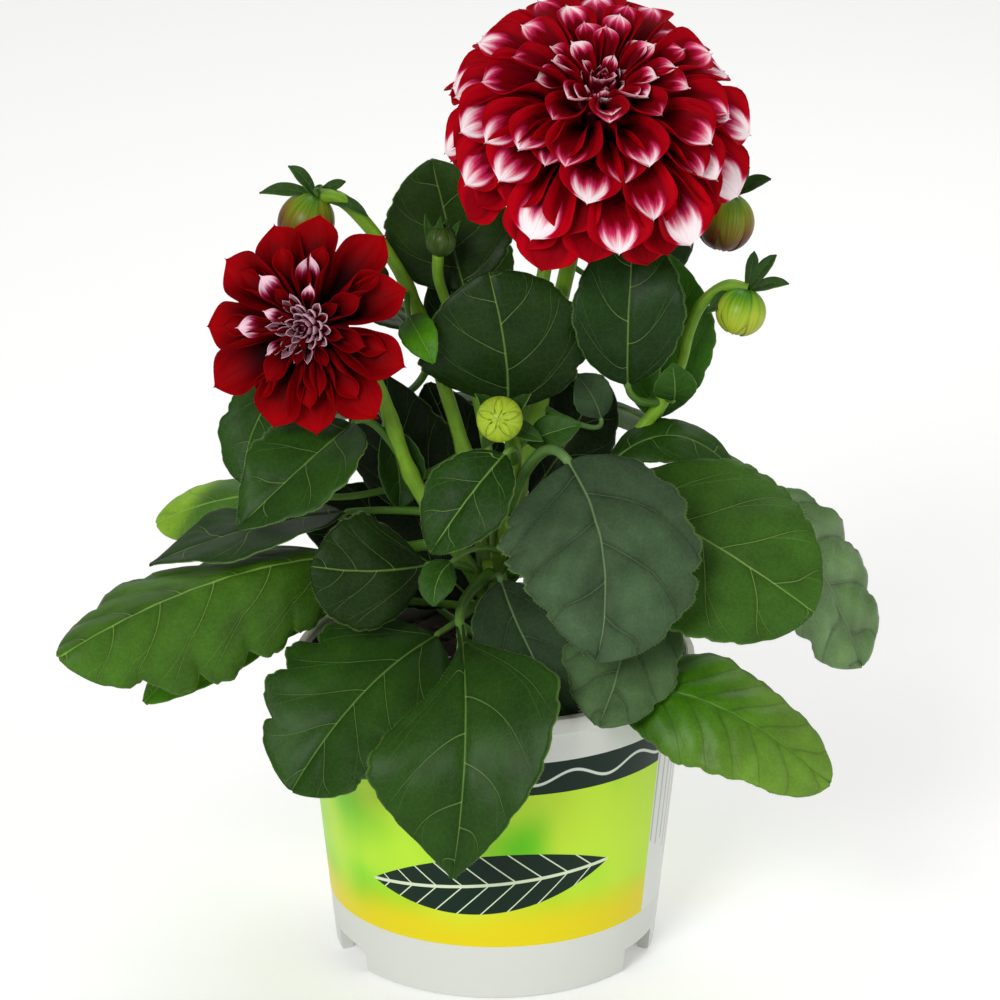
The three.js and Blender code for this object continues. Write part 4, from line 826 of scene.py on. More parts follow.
def soil_parts(top, seed):
    """Peat: a profile turned about Z whose top rises by sums of sines in x and y, with small
    crumbs (halved octahedra, stretched and turned by a seeded draw) and white grit on it."""
    rings = np.linspace(7.2, 59.6, 44)
    profile = ([(0, 10.4), (50, 10.4), (51.3, 11)] + [(50.9 + 0.1 * z, z) for z in (30, 60, 86)]
               + [(r, top) for r in rings[::-1]] + [(6.4, top - 1), (6.3, 80), (0, 80)])

    def rough(x, y):
        lump = 1.1 * np.sin(0.21 * x + 1.3) * np.sin(0.19 * y + 0.4) + 0.7 * np.sin(0.47 * x - 0.39 * y)
        lump += 0.45 * np.sin(1.13 * x + 0.5 * y) * np.sin(0.93 * y - 0.7 * x)
        return lump + 0.25 * np.sin(2.3 * x + y) * np.sin(2.1 * y - 1.2 * x)

    def move(grid):
        high = (grid[..., 2] > top - 0.5)[..., None]
        lift = rough(grid[..., 0], grid[..., 1])[..., None]
        return grid + high * lift * np.array([0, 0, 1.0])

    parts = [revolve(profile, 120, tint=linear("#2A211B"), move=move)]
    draw = np.random.default_rng(seed)
    octahedron = np.array([(1, 0, 0), (0, 1, 0), (-1, 0, 0), (0, -1, 0), (0, 0, 1), (0, 0, -1)], float)
    faces = np.array([(0, 1, 4), (1, 2, 4), (2, 3, 4), (3, 0, 4), (1, 0, 5), (2, 1, 5), (3, 2, 5),
                      (0, 3, 5)])
    # Crumbs, fibres and grit: number, half sizes, stretch along and across, and two colours
    for count, sizes, stretch, codes in (
        (620, (0.5, 1.5), (1.0, 1.0), ("#3A2C20", "#241B15")),
        (120, (0.5, 0.9), (3.2, 0.7), ("#5A4028", "#3C2A1C")),
        (60, (0.6, 1.2), (1.1, 1.0), ("#D9D6CC", "#BFBBB0")),
    ):
        r = np.sqrt(draw.uniform(0.02, 1, count)) * 57.5
        a = draw.uniform(0, 2 * math.pi, count)
        x, y = r * np.cos(a), r * np.sin(a)
        shape = octahedron * draw.uniform(*sizes, (count, 1, 3)) * np.array([*stretch, 0.8])
        shape = shape + draw.uniform(-0.15, 0.15, shape.shape)
        turn = draw.uniform(0, math.pi, count)[:, None]
        turned = np.stack([shape[..., 0] * np.cos(turn) - shape[..., 1] * np.sin(turn),
                           shape[..., 0] * np.sin(turn) + shape[..., 1] * np.cos(turn), shape[..., 2]],
                          axis=2)
        points = turned + np.stack([x, y, top + rough(x, y) + 0.25], axis=1)[:, None]
        tint = np.where(draw.uniform(size=(count, 1, 1)) < 0.5, linear(codes[0]), linear(codes[1]))
        tint = np.broadcast_to(tint, (count, 6, 4)).reshape(-1, 4)
        parts.append(Part(points, (), faces + 6 * np.arange(count)[:, None, None], tint=tint))
    return parts


def add(tree, kind, *inputs, **settings):
    """Adds a shader node and gives its first output in use. After a point, kind holds the node's
    operation, interpolation or data type. The inputs are given in order for the sockets in use, or
    by name in one dict: a socket is linked, anything else is set. settings are fields of the node."""
    kind, _, mode = kind.partition(".")
    made = tree.nodes.new("ShaderNode" + kind)
    if mode:
        settings[{"MapRange": "interpolation_type", "Mix": "data_type"}.get(kind, "operation")] = mode
    for field, value in settings.items():
        setattr(made, field, value)
    sockets = [socket for socket in made.inputs if socket.enabled]
    if inputs and isinstance(inputs[0], dict):
        sockets, inputs = [made.inputs[key] for key in inputs[0]], inputs[0].values()
    for socket, value in zip(sockets, inputs):
        if isinstance(value, bpy.types.NodeSocket):
            tree.links.new(value, socket)
        else:
            socket.default_value = value
    return next((socket for socket in made.outputs if socket.enabled), None)


def new_material(name):
    """An empty node material, and the function that adds a node to it."""
    material = bpy.data.materials.new(name)
    material.use_nodes = True
    material.node_tree.nodes.clear()
    return material, functools.partial(add, material.node_tree)


def leaf_material(name, vein, roughness, specular, sheen, clear, sunk, width):
    """Living leaf blade, a waxy skin over soft green tissue. The blade's tint varies over some
    12 mm; the rib coordinate draws the side veins and their forks, skin draws the midrib and a
    net with meshes of 2.6 mm, and veins are lowered by a bump. clear is how pale the side veins
    are, sunk how far painted shade darkens the blade beside the sunk veins, and width scales the veins."""
    material, node = new_material(name)
    tint = node("Attribute", attribute_name="tint")
    rib = node("SeparateXYZ", node("UVMap", uv_map="rib")).node.outputs
    skin_map = node("UVMap", uv_map="skin")
    skin = node("SeparateXYZ", skin_map).node.outputs
    place = node("TexCoord").node.outputs["Object"]
    out = rib["Y"]

    beat = node("Math.FRACT", rib["X"])
    off = node("Math.SUBTRACT", beat, 0.5)
    gap = node("Math.ABSOLUTE", off)
    thin = node("MapRange", out, 0.0, 1.0, 0.013 * width, 0.004 * width)
    share = node("Math.DIVIDE", gap, thin)
    lateral = node("MapRange.SMOOTHSTEP", share, 0.45, 1.5, 1.0, 0.0)
    ends = node("MapRange", out, 0.8, 0.96, 1.0, 0.0)
    lateral = node("Math.MULTIPLY", lateral, ends)

    away = node("Math.SUBTRACT", out, 0.42)
    away = node("Math.MAXIMUM", away, 0.0)
    fork = node("Math.MULTIPLY_ADD", away, -0.75, off)
    fork = node("Math.ABSOLUTE", fork)
    fork = node("MapRange.SMOOTHSTEP", fork, 0.003 * width, 0.012 * width, 0.5, 0.0)
    fork = node("Math.MULTIPLY", fork, ends)

    across = node("Math.ABSOLUTE", skin["X"])
    midrib = node("MapRange.SMOOTHSTEP", across, 0.16 * width, 0.6 * width, 1.0, 0.0)
    net = node("TexVoronoi", {"Vector": skin_map, "Scale": 1 / 2.6, "Randomness": 0.9},
               voronoi_dimensions="2D", feature="DISTANCE_TO_EDGE")
    mesh = node("MapRange.SMOOTHSTEP", net, 0.02, 0.12, 1.0, 0.0)
    sides = node("Math.MAXIMUM", lateral, fork)
    veins = node("Math.MAXIMUM", sides, midrib)
    pale = node("Math.MULTIPLY", sides, clear)
    pale = node("Math.MULTIPLY_ADD", midrib, 0.55, pale, use_clamp=True)
    # Painted shade: the blade is darker in a band beside each side vein, the shade of its groove
    vein_groove_shade = node("MapRange.SMOOTHSTEP", share, 1.0, 9.0, 1 - sunk)

    mottle = node("TexNoise", {"Vector": place, "Scale": 1 / (12 * MM), "Detail": 4.0})
    mottle = node("MapRange", mottle, 0.3, 0.7, 0.78, 1.18)
    grain = node("TexNoise", {"Vector": place, "Scale": 1 / (0.9 * MM), "Detail": 3.0})
    fleck = node("MapRange", grain, 0.3, 0.75, 0.9, 1.14)
    tone = node("Math.MULTIPLY", mottle, fleck)
    tone = node("Math.MULTIPLY", tone, vein_groove_shade)
    body = node("VectorMath.SCALE", tint, tone)
    faint = node("Math.MULTIPLY", mesh, 0.03)
    body = node("Mix.RGBA", faint, body, linear(vein))
    body = node("Mix.RGBA", pale, body, linear(vein))
    margin = node("MapRange", out, 0.97, 1.0, 0.0, 0.5)
    body = node("Mix.RGBA", margin, body, linear("#64873C"))

    low = node("Math.MULTIPLY", veins, -1.0)
    low = node("Math.MULTIPLY_ADD", mesh, -0.05, low)
    low = node("Math.MULTIPLY_ADD", grain, 0.35, low)
    bump = node("Bump", {"Height": low, "Strength": 0.5, "Distance": 0.35 * MM})
    dull = node("MapRange", grain, 0.0, 1.0, roughness - 0.08, roughness + 0.08)
    shader = node("BsdfPrincipled", {"Base Color": body, "Roughness": dull,
                                     "Specular IOR Level": specular, "IOR": 1.45, "Sheen Weight": sheen,
                                     "Sheen Roughness": 0.4, "Normal": bump})
    node("OutputMaterial", {"Surface": shader})
    return material


def stem_material():
    """Living stem: smooth waxy skin with fine lengthwise ribs about 0.8 mm apart, green, and
    darker and duller where the tint carries painted shade."""
    material, node = new_material("waxy_green_stem")
    tint = node("Attribute", attribute_name="tint")
    place = node("TexCoord").node.outputs["Object"]
    turn = node("UVMap", uv_map="skin")
    long = node("Mapping", {"Vector": turn, "Scale": (14.0, 0.12, 1.0)})
    streak = node("TexNoise", {"Vector": long, "Scale": 1.0, "Detail": 4.0})
    spot = node("TexNoise", {"Vector": place, "Scale": 1 / (5 * MM), "Detail": 3.0})
    tone = node("Math.ADD", streak, spot)
    tone = node("MapRange", tone, 0.7, 1.3, 0.78, 1.2)
    body = node("VectorMath.SCALE", tint, tone)
    bump = node("Bump", {"Height": streak, "Strength": 0.4, "Distance": 0.25 * MM})
    shader = node("BsdfPrincipled", {"Base Color": body, "Roughness": 0.45, "Specular IOR Level": 0.25,
                                     "IOR": 1.45, "Normal": bump})
    node("OutputMaterial", {"Surface": shader})
    return material


def petal_material(name, deep, red, blush, pale, velvet):
    """Dahlia petal: velvety skin, deep where the tint carries painted shade towards the base, then red,
    with the inner face passing through magenta to near white at the tip in streaks; fine darker lines run
    to the tip."""
    material, node = new_material(name)
    tint = node("SeparateXYZ",
                node("Attribute", attribute_name="tint").node.outputs["Vector"]).node.outputs
    rib = node("SeparateXYZ", node("UVMap", uv_map="rib")).node.outputs
    skin_map = node("UVMap", uv_map="skin")
    skin = node("SeparateXYZ", skin_map).node.outputs
    long = node("Mapping", {"Vector": skin_map, "Scale": (5.0, 0.55, 1.0)})
    streak = node("TexNoise", {"Vector": long, "Scale": 1.6, "Detail": 5.0, "Roughness": 0.65})
    place = node("TexCoord").node.outputs["Object"]
    cloud = node("TexNoise", {"Vector": place, "Scale": 1 / (9 * MM), "Detail": 3.0})

    # The tint's first channel is painted shade: the deep colour where it is 0, red where it is 1
    base = node("Mix.RGBA", tint["X"], linear(deep), linear(red))
    tone = node("Math.ADD", streak, cloud)
    tone = node("MapRange", tone, 0.7, 1.3, 0.72, 1.22)
    base = node("VectorMath.SCALE", base, tone)
    ragged = node("MapRange", streak, 0.3, 0.7, -0.14, 0.14)
    front = node("Math.ADD", rib["X"], ragged)
    pink = node("MapRange.SMOOTHSTEP", front, -0.2, 0.3)
    white = node("MapRange.SMOOTHSTEP", front, 0.1, 0.65)
    pink = node("Math.MULTIPLY", pink, tint["Y"])
    white = node("Math.MULTIPLY", white, tint["Y"])
    body = node("Mix.RGBA", pink, base, linear(blush))
    body = node("Mix.RGBA", white, body, linear(pale))

    lines = node("Math.MULTIPLY_ADD", skin["X"], 2.1, 0.5)
    lines = node("Math.FRACT", lines)
    lines = node("Math.SUBTRACT", lines, 0.5)
    lines = node("Math.ABSOLUTE", lines)
    lines = node("MapRange.SMOOTHSTEP", lines, 0.01, 0.045, 0.34, 0.0)
    darker = node("VectorMath.SCALE", body, 0.45)
    body = node("Mix.RGBA", lines, body, darker)
    bump = node("Bump", {"Height": streak, "Strength": 0.35, "Distance": 0.3 * MM})
    shader = node("BsdfPrincipled", {"Base Color": body, "Roughness": 0.6, "Specular IOR Level": 0.04,
                                     "IOR": 1.4, "Sheen Weight": velvet, "Sheen Roughness": 0.4,
                                     "Sheen Tint": linear("#C81A30"), "Normal": bump})
    node("OutputMaterial", {"Surface": shader})
    return material


def scale_material():
    """Bud scale: smooth waxy bract with lengthwise streaks about 0.5 mm apart and a paler edge."""
    material, node = new_material("waxy_bud_scale")
    tint = node("Attribute", attribute_name="tint")
    long = node("Mapping", {"Vector": node("UVMap", uv_map="skin"), "Scale": (4.5, 0.35, 1.0)})
    streak = node("TexNoise", {"Vector": long, "Scale": 2.0, "Detail": 4.0})
    tone = node("MapRange", streak, 0.3, 0.7, 0.7, 1.25)
    body = node("VectorMath.SCALE", tint, tone)
    bump = node("Bump", {"Height": streak, "Strength": 0.3, "Distance": 0.2 * MM})
    shader = node("BsdfPrincipled", {"Base Color": body, "Roughness": 0.36, "Specular IOR Level": 0.2,
                                     "IOR": 1.45, "Coat Weight": 0.03, "Coat Roughness": 0.2,
                                     "Normal": bump})
    node("OutputMaterial", {"Surface": shader})
    return material


def peat_material():
    """Moist peat: dark, rough crumbs and fibres, with a grain of 0.8 mm over lumps of 5 mm."""
    material, node = new_material("moist_peat")
    tint = node("Attribute", attribute_name="tint")
    place = node("TexCoord").node.outputs["Object"]
    lump = node("TexNoise", {"Vector": place, "Scale": 1 / (5 * MM), "Detail": 6.0})
    grain = node("TexNoise", {"Vector": place, "Scale": 1 / (0.8 * MM), "Detail": 4.0})
    tone = node("Math.ADD", lump, grain)
    tone = node("MapRange", tone, 0.7, 1.3, 0.5, 1.5)
    body = node("VectorMath.SCALE", tint, tone)
    bump = node("Bump", {"Height": grain, "Strength": 0.9, "Distance": 0.6 * MM})
    shader = node("BsdfPrincipled", {"Base Color": body, "Roughness": 0.93, "Specular IOR Level": 0.25,
                                     "Normal": bump})
    node("OutputMaterial", {"Surface": shader})
    return material


def pot_material(pot):
    """Injection-moulded polypropylene with a printed sleeve: satin white plastic, a dark band
    with a pale wave, a field that runs from lime through green to yellow in clouds of 35 mm, a
    long leaf silhouette in dark green, and a plain panel of short grey strokes. It is drawn from
    the angle round the pot, the height, and the distance from the axis, which keeps it outside."""
    material, node = new_material("printed_polypropylene")
    place = node("TexCoord").node.outputs["Object"]
    mm = node("VectorMath.SCALE", place, 1 / MM)
    xyz = node("SeparateXYZ", mm).node.outputs
    x, y, z = xyz
    angle = node("Math.ARCTAN2", y, x)
    flat = node("CombineXYZ", x, y)
    radius = node("VectorMath.LENGTH", flat)
    wall = node("Math.MULTIPLY_ADD", z, 0.1, 52.1)
    outside = node("Math.GREATER_THAN", radius, wall)

    cloud = node("TexNoise", {"Vector": mm, "Scale": 1 / 35, "Detail": 1.0})
    veil = node("TexNoise", {"Vector": mm, "Scale": 1 / 48, "Detail": 1.0, "Distortion": 0.6})
    left = node("Math.ADD", angle, 2.42)
    left = node("Math.ABSOLUTE", left)
    left = node("MapRange", left, 0.0, 0.42, 0.2, 0.0)
    cloud = node("Math.ADD", cloud, left)
    leafy = node("MapRange.SMOOTHSTEP", cloud, 0.46, 0.8)
    field = node("Mix.RGBA", leafy, linear(pot.lime), linear(pot.green))
    low = node("MapRange", z, 20.0, 52.0, 1.25, -0.1)
    low = node("Math.MULTIPLY_ADD", veil, 0.5, low)
    low = node("MapRange.SMOOTHSTEP", low, 0.7, 1.4)
    field = node("Mix.RGBA", low, field, linear(pot.yellow))

    along = node("Math.MULTIPLY_ADD", angle, 57.0, 57.0 * math.pi / 2 + 2.0)
    rise = node("Math.MULTIPLY_ADD", along, -0.1, z)
    rise = node("Math.SUBTRACT", rise, LEAF_AT)
    height = node("Math.ABSOLUTE", rise)
    share = node("Math.MULTIPLY", along, 1 / 41)
    square = node("Math.MULTIPLY", share, share)
    brim = node("Math.MULTIPLY_ADD", square, -10.5, 10.5)
    inside = node("Math.SUBTRACT", brim, height)
    shape = node("MapRange", inside, -0.05, 0.15)
    slant = node("Math.MULTIPLY_ADD", height, 1.1, along)
    slant = node("Math.MULTIPLY", slant, 1 / 8.5)
    slant = node("Math.FRACT", slant)
    ribs = node("Math.LESS_THAN", slant, 0.07)
    spine = node("Math.LESS_THAN", height, 0.55)
    ribs = node("Math.MAXIMUM", ribs, spine)
    ribs = node("Math.MULTIPLY", ribs, 0.85)
    motif = node("Mix.RGBA", ribs, linear(pot.band), linear("#DDEBC8"))
    field = node("Mix.RGBA", shape, field, motif)

    wave = node("Math.MULTIPLY", angle, 15.0)
    wave = node("Math.SINE", wave)
    wave = node("Math.MULTIPLY_ADD", wave, -2.0, z)
    wave = node("Math.SUBTRACT", wave, WAVE_AT)
    wave = node("Math.ABSOLUTE", wave)
    wave = node("MapRange", wave, 0.4, 0.6, 0.85, 0.0)
    band = node("Mix.RGBA", wave, linear(pot.band), linear("#DDE5DA"))
    high = node("Math.GREATER_THAN", z, BAND_LOW)
    sleeve = node("Mix.RGBA", high, field, band)

    turn = node("Math.ADD", angle, math.radians(8))
    turn = node("Math.ABSOLUTE", turn)
    panel = node("Math.LESS_THAN", turn, math.radians(22))
    line = node("Math.MULTIPLY", angle, 60.0)
    column = node("Math.MULTIPLY", line, 1 / STROKE_PITCH)
    column = node("Math.FRACT", column)
    column = node("Math.LESS_THAN", column, 0.26)
    order = node("Math.MULTIPLY", line, 1 / STROKE_PITCH)
    order = node("Math.FLOOR", order)
    reach = node("TexWhiteNoise", {"W": order}, noise_dimensions="1D")
    reach = node("MapRange", reach, 0.0, 1.0, 32.0, 50.0)
    strokes = node("Math.GREATER_THAN", z, reach)
    top = node("Math.LESS_THAN", z, PANEL_HIGH)
    strokes = node("Math.MULTIPLY", strokes, column)
    strokes = node("Math.MULTIPLY", strokes, top)
    strokes = node("Math.MULTIPLY", strokes, 0.45)
    plain = node("Mix.RGBA", strokes, linear("#D6D8D3"), linear("#5C6461"))
    sleeve = node("Mix.RGBA", panel, sleeve, plain)

    over = node("Math.GREATER_THAN", z, SLEEVE_LOW)
    under = node("Math.LESS_THAN", z, SLEEVE_HIGH)
    printed = node("Math.MULTIPLY", over, under)
    printed = node("Math.MULTIPLY", printed, outside)

    scuff = node("TexNoise", {"Vector": mm, "Scale": 1 / 14, "Detail": 6.0})
    soot = node("MapRange", scuff, 0.42, 0.75, 0.0, 0.5)
    rim = node("MapRange", z, 97.6, 99.6)
    soot = node("Math.ADD", soot, 0.25)
    soot = node("Math.MULTIPLY", soot, rim)
    white = node("Mix.RGBA", soot, linear(pot.plastic), linear("#A9997A"))
    body = node("Mix.RGBA", printed, white, sleeve)
    below = node("Math.LESS_THAN", z, 98.4)
    above = node("Math.GREATER_THAN", z, 9.0)
    # Painted shade: the inner wall above the floor and below the rim is painted dark grey
    inner = node("Math.MULTIPLY_ADD", outside, -1.0, 1.0)
    inner = node("Math.MULTIPLY", inner, below)
    inner = node("Math.MULTIPLY", inner, above)
    body = node("Mix.RGBA", inner, body, linear("#3A3731"))
    grain = node("TexNoise", {"Vector": mm, "Scale": 1 / 1.2, "Detail": 2.0})
    bump = node("Bump", {"Height": grain, "Strength": 0.12, "Distance": 0.1 * MM})
    dull = node("MapRange", scuff, 0.0, 1.0, 0.3, 0.46)
    shader = node("BsdfPrincipled", {"Base Color": body, "Roughness": dull, "Specular IOR Level": 0.2,
                                     "IOR": 1.49, "Normal": bump})
    node("OutputMaterial", {"Surface": shader})
    return material


def floor_material(colour):
    """Matt white backdrop paper with a faint tooth of 2 mm."""
    material, node = new_material("matt_paper")
    place = node("TexCoord").node.outputs["Object"]
    tooth = node("TexNoise", {"Vector": place, "Scale": 1 / (2 * MM)})
    bump = node("Bump", {"Height": tooth, "Strength": 0.05, "Distance": 0.1 * MM})
    shader = node("BsdfPrincipled", {"Base Color": linear(colour), "Roughness": 0.9, "Normal": bump,
                                     "Emission Color": linear(colour), "Emission Strength": 0.24})
    node("OutputMaterial", {"Surface": shader})
    return material


class PotSettings(bpy.types.PropertyGroup):
    """Colours of the pot and its sleeve, as sRGB hex values"""
    plastic: bpy.props.StringProperty(name="Plastic", description="Satin white of the plastic",
                                      default="#CFD1CB")
    band: bpy.props.StringProperty(name="Band", description="Dark green of the band and the leaf",
                                   default="#092317")
    lime: bpy.props.StringProperty(name="Lime", description="Upper colour of the printed field",
                                   default="#BADF36")
    green: bpy.props.StringProperty(name="Green", description="Cloud colour of the printed field",
                                    default="#5CCB14")
    yellow: bpy.props.StringProperty(name="Yellow", description="Lower colour of the printed field",
                                     default="#DCCB10")
    soil_top: bpy.props.FloatProperty(name="Soil top", description="Height of the peat in millimetres",
                                      default=91.0, min=70.0, max=96.0)
    soil_seed: bpy.props.IntProperty(name="Soil seed", description="Seed of the draw of crumbs",
                                     default=5, min=0)


class PlantSettings(bpy.types.PropertyGroup):
    """Sizes and colours of the plant"""
    leaf_thickness: bpy.props.FloatProperty(name="Leaf thickness",
                                            description="Thickness of a leaf blade in millimetres",
                                            default=0.7, min=0.3, max=1.5)
    vein_width: bpy.props.FloatProperty(name="Vein width",
                                        description="Width of the veins, as a multiple of the usual",
                                        default=1.0, min=0.2, max=3.0)
    petal_red: bpy.props.StringProperty(name="Petal red", description="Red of the petals",
                                        default="#A80010")
    petal_blush: bpy.props.StringProperty(name="Petal blush", description="Colour between red and white",
                                          default="#CC2A60")
    petal_white: bpy.props.StringProperty(name="Petal white", description="Colour of the petals' tips",
                                          default="#F4E2E5")


class StageSettings(bpy.types.PropertyGroup):
    """Camera, light and floor"""
    distance: bpy.props.FloatProperty(name="Distance", description="Camera to the aim point", default=1.2,
                                      unit="LENGTH")
    pitch: bpy.props.FloatProperty(name="Pitch", description="How far the camera looks down",
                                   default=math.radians(18.5), subtype="ANGLE")
    aim_height: bpy.props.FloatProperty(name="Aim height", description="Height of the aim point",
                                        default=0.151, unit="LENGTH")
    lens: bpy.props.FloatProperty(name="Lens",
                                  description="Focal length in millimetres on a 36 mm sensor",
                                  default=134.35)
    light: bpy.props.FloatProperty(name="Light", description="Strength of the lights, as a multiple",
                                   default=1.0, min=0.0)
    floor: bpy.props.StringProperty(name="Floor", description="Colour of the floor", default="#EDEDEC")


class DAHLIA_OT_pot(bpy.types.Operator):
    """Make the printed nursery pot with its foot slots and drain holes"""
    bl_idname = "dahlia.pot"
    bl_label = "Pot"

    def execute(self, context):
        material = pot_material(context.scene.dahlia_pot)
        thing = piece("nursery_pot", [pot_parts()], [material], "pot")
        # Three slots through the foot ring, 19 mm wide, and six round drain holes in the floor
        cutters = []
        for angle in (-152, -28, 90):
            a = math.radians(angle)
            out, up = np.array([math.cos(a), math.sin(a), 0]), np.array([0, 0, 1.0])
            across = np.cross(up, out)
            foot = ((41, -9.5), (61, -9.5), (61, 9.5), (41, 9.5))
            corners = np.array([(i, j, k) for k in (-8, 8) for i, j in foot])
            points = corners[:, :1] * out + corners[:, 1:2] * across + corners[:, 2:] * up
            sides = [(0, 3, 2, 1), (4, 5, 6, 7), (0, 1, 5, 4), (1, 2, 6, 5), (2, 3, 7, 6), (3, 0, 4, 7)]
            cutters.append(Part(points, sides))
        for k in range(6):
            a = math.radians(60 * k)
            drain = revolve([(0, 5), (4, 5), (4, 13), (0, 13)], 32)
            drain.points = drain.points + [30 * math.cos(a), 30 * math.sin(a), 0]
            cutters.append(drain)
        knife = piece("pot_knife", cutters, [], "pot")
        cut = thing.modifiers.new("cut", "BOOLEAN")
        cut.operation, cut.solver, cut.object = "DIFFERENCE", "EXACT", knife
        done = bpy.data.meshes.new_from_object(thing.evaluated_get(context.evaluated_depsgraph_get()))
        thing.modifiers.clear()
        thing.data = done
        bpy.data.objects.remove(knife, do_unlink=True)
        done.set_sharp_from_angle(angle=math.radians(35))
        return {"FINISHED"}


class DAHLIA_OT_soil(bpy.types.Operator):
    """Make the peat with its crumbs, fibres and grit"""
    bl_idname = "dahlia.soil"
    bl_label = "Soil"

    def execute(self, context):
        pot = context.scene.dahlia_pot
        piece("peat", soil_parts(pot.soil_top, pot.soil_seed), [peat_material()], "soil")
        return {"FINISHED"}


class DAHLIA_OT_stems(bpy.types.Operator):
    """Make the main stem and the seven shoots"""
    bl_idname = "dahlia.stems"
    bl_label = "Stems"

    def execute(self, context):
        skin = stem_material()
        # Painted shade: the trunk inside the crown is dimmed to 0.6
        piece("stem_trunk", stem_parts(**MAIN_STEM, bright=0.6), [skin], "main_stem")
        for name, shoot in SHOOTS.items():
            piece(name.replace("shoot", "stem"), stem_parts(**shoot), [skin], name)
        return {"FINISHED"}


class DAHLIA_OT_leaves(bpy.types.Operator):
    """Make each leaf: a veined blade on its stalk"""
    bl_idname = "dahlia.leaves"
    bl_label = "Leaves"

    def execute(self, context):
        plant = context.scene.dahlia_plant
        stalk = stem_material()
        # Name, roughness, specular, sheen, how pale the side veins are, how far painted shade darkens it
        # beside them
        finishes = {
            "dark": ("glossy_dark_leaf", 0.42, 0.14, 0.0, 0.5, 0.16),
            "grey": ("downy_grey_leaf", 0.6, 0.14, 0.02, 0.22, 0.3),
            "bright": ("glossy_bright_leaf", 0.42, 0.14, 0.0, 0.4, 0.2),
            "quilted": ("quilted_bright_leaf", 0.4, 0.2, 0.0, 0.2, 0.2),
            "shiny": ("shiny_grey_leaf", 0.3, 0.6, 0.0, 0.2, 0.3),
            "young": ("young_leaf", 0.46, 0.12, 0.0, 0.5, 0.16),
        }
        made = {kind: leaf_material(name, LEAF_KINDS[kind][2], *finish, plant.vein_width)
                for kind, (name, *finish) in finishes.items()}
        for name, leaf in LEAVES.items():
            parts = leaf_parts(leaf, plant.leaf_thickness, name)
            piece(name.replace("leaf_", "blade_"), parts, [made[leaf["kind"]], stalk], name)
        return {"FINISHED"}


class DAHLIA_OT_blooms(bpy.types.Operator):
    """Make the large two-tone bloom and the small red one"""
    bl_idname = "dahlia.blooms"
    bl_label = "Blooms"

    def execute(self, context):
        plant = context.scene.dahlia_plant
        green = scale_material()
        colours = (plant.petal_red, plant.petal_blush, plant.petal_white)
        two_tone = petal_material("velvet_petal_two_tone", "#2A0008", *colours, 0.04)
        red = petal_material("velvet_petal_red", "#160003", "#9A0006", "#9A2450", "#E6C0CE", 0.03)
        piece("flower_large", bloom_parts("bloom_large"), [two_tone, green], "bloom_large")
        piece("flower_small", bloom_parts("bloom_small"), [red, green], "bloom_small")
        return {"FINISHED"}


class DAHLIA_OT_buds(bpy.types.Operator):
    """Make the five buds with their scales and free bracts"""
    bl_idname = "dahlia.buds"
    bl_label = "Buds"

    def execute(self, context):
        scales = scale_material()
        leafy = leaf_material("bract_leaf", "#8FAE62", 0.6, 0.2, 0.0, 0.5, 0.1, 0.6)
        for name in BUDS:
            piece(name.replace("bud_", "budhead_"), bud_parts(name), [scales, leafy], name)
        return {"FINISHED"}


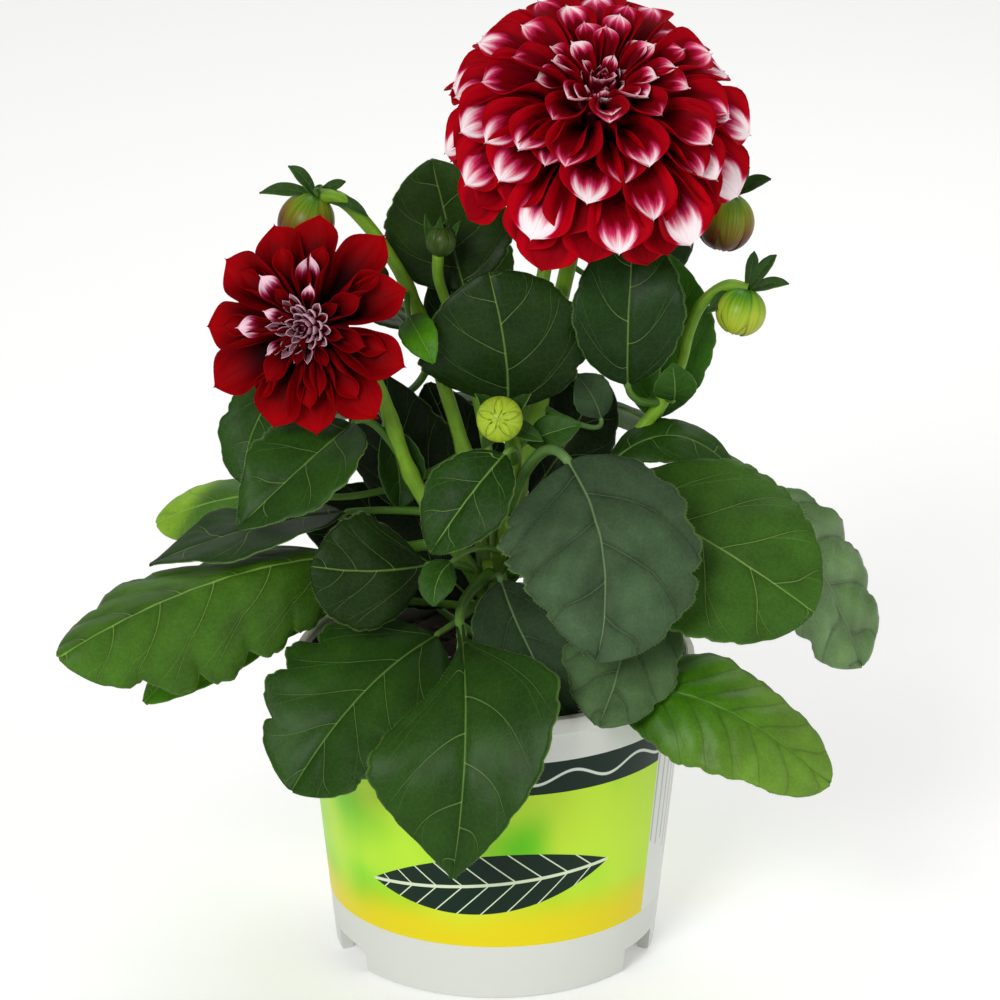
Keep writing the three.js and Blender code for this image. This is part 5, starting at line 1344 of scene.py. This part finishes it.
class DAHLIA_OT_stage(bpy.types.Operator):
    """Make the pale floor, the soft studio light and the camera"""
    bl_idname = "dahlia.stage"
    bl_label = "Stage"

    def execute(self, context):
        scene, stage = context.scene, context.scene.dahlia_stage
        mesh = bpy.data.meshes.new("backdrop_floor")
        mesh.from_pydata([(-30, -30, -0.0002), (30, -30, -0.0002), (30, 30, -0.0002), (-30, 30, -0.0002)],
                         [], [(0, 1, 2, 3)])
        mesh.materials.append(floor_material(stage.floor))
        floor = bpy.data.objects.new("backdrop_floor", mesh)
        scene.collection.objects.link(floor)
        world = bpy.data.worlds.new("studio")
        world.use_nodes = True
        background = world.node_tree.nodes["Background"].inputs
        background["Color"].default_value = linear("#FFFFFF")
        background["Strength"].default_value = 0.40 * stage.light
        scene.world = world
        # Lights: name, place, aim and side in metres, and power in watts
        for name, place, aim, size, power in (
            ("key", (-0.6, -1.35, 0.95), (0, 0, 0.17), 0.6, 17),
            ("fill", (1.3, -0.9, 0.6), (0, 0, 0.15), 1.0, 5),
            ("crown", (0.3, 0.7, 1.4), (0, 0, 0.2), 0.8, 6),
            ("backdrop", (0, 2.0, 1.4), (0, 1.8, 0), 2.4, 12),
        ):
            data = bpy.data.lights.new(name, "AREA")
            data.size, data.energy = size, power * stage.light
            lamp = bpy.data.objects.new(name, data)
            lamp.location = place
            away = np.array(place) - np.array(aim)
            flat = math.hypot(away[0], away[1])
            lamp.rotation_euler = (math.atan2(flat, away[2]), 0, math.atan2(away[0], -away[1]))
            scene.collection.objects.link(lamp)
        data = bpy.data.cameras.new("camera")
        data.lens, data.sensor_width = stage.lens, 36
        camera = bpy.data.objects.new("camera", data)
        camera.location = (CAMERA_ASIDE, -stage.distance * math.cos(stage.pitch),
                           stage.aim_height + stage.distance * math.sin(stage.pitch))
        camera.rotation_euler = (math.pi / 2 - stage.pitch, 0, 0)
        scene.collection.objects.link(camera)
        scene.camera = camera
        scene.view_settings.view_transform = "Standard"
        return {"FINISHED"}


class DAHLIA_PT_panel(bpy.types.Panel):
    """Lists the settings and the steps of the potted dahlia"""
    bl_idname = "DAHLIA_PT_panel"
    bl_label = "Potted Dwarf Dahlia"
    bl_space_type = "VIEW_3D"
    bl_region_type = "UI"
    bl_category = "Dahlia"

    def draw(self, context):
        for group in ("dahlia_pot", "dahlia_plant", "dahlia_stage"):
            box = self.layout.box()
            settings = getattr(context.scene, group)
            for key in settings.__annotations__:
                box.prop(settings, key)
        for step in STEPS:
            self.layout.operator(step.bl_idname)


STEPS = (DAHLIA_OT_stage, DAHLIA_OT_pot, DAHLIA_OT_soil, DAHLIA_OT_stems, DAHLIA_OT_leaves,
         DAHLIA_OT_blooms, DAHLIA_OT_buds)
CLASSES = (PotSettings, PlantSettings, StageSettings, *STEPS, DAHLIA_PT_panel)


def register():
    for kind in CLASSES:
        bpy.utils.register_class(kind)
    bpy.types.Scene.dahlia_pot = bpy.props.PointerProperty(type=PotSettings)
    bpy.types.Scene.dahlia_plant = bpy.props.PointerProperty(type=PlantSettings)
    bpy.types.Scene.dahlia_stage = bpy.props.PointerProperty(type=StageSettings)


def unregister():
    for key in ("dahlia_pot", "dahlia_plant", "dahlia_stage"):
        delattr(bpy.types.Scene, key)
    for kind in reversed(CLASSES):
        bpy.utils.unregister_class(kind)


def main():
    register()
    for name in ("stage", "pot", "soil", "stems", "leaves", "blooms", "buds"):
        getattr(bpy.ops.dahlia, name)()


if __name__ == "__main__":
    main()
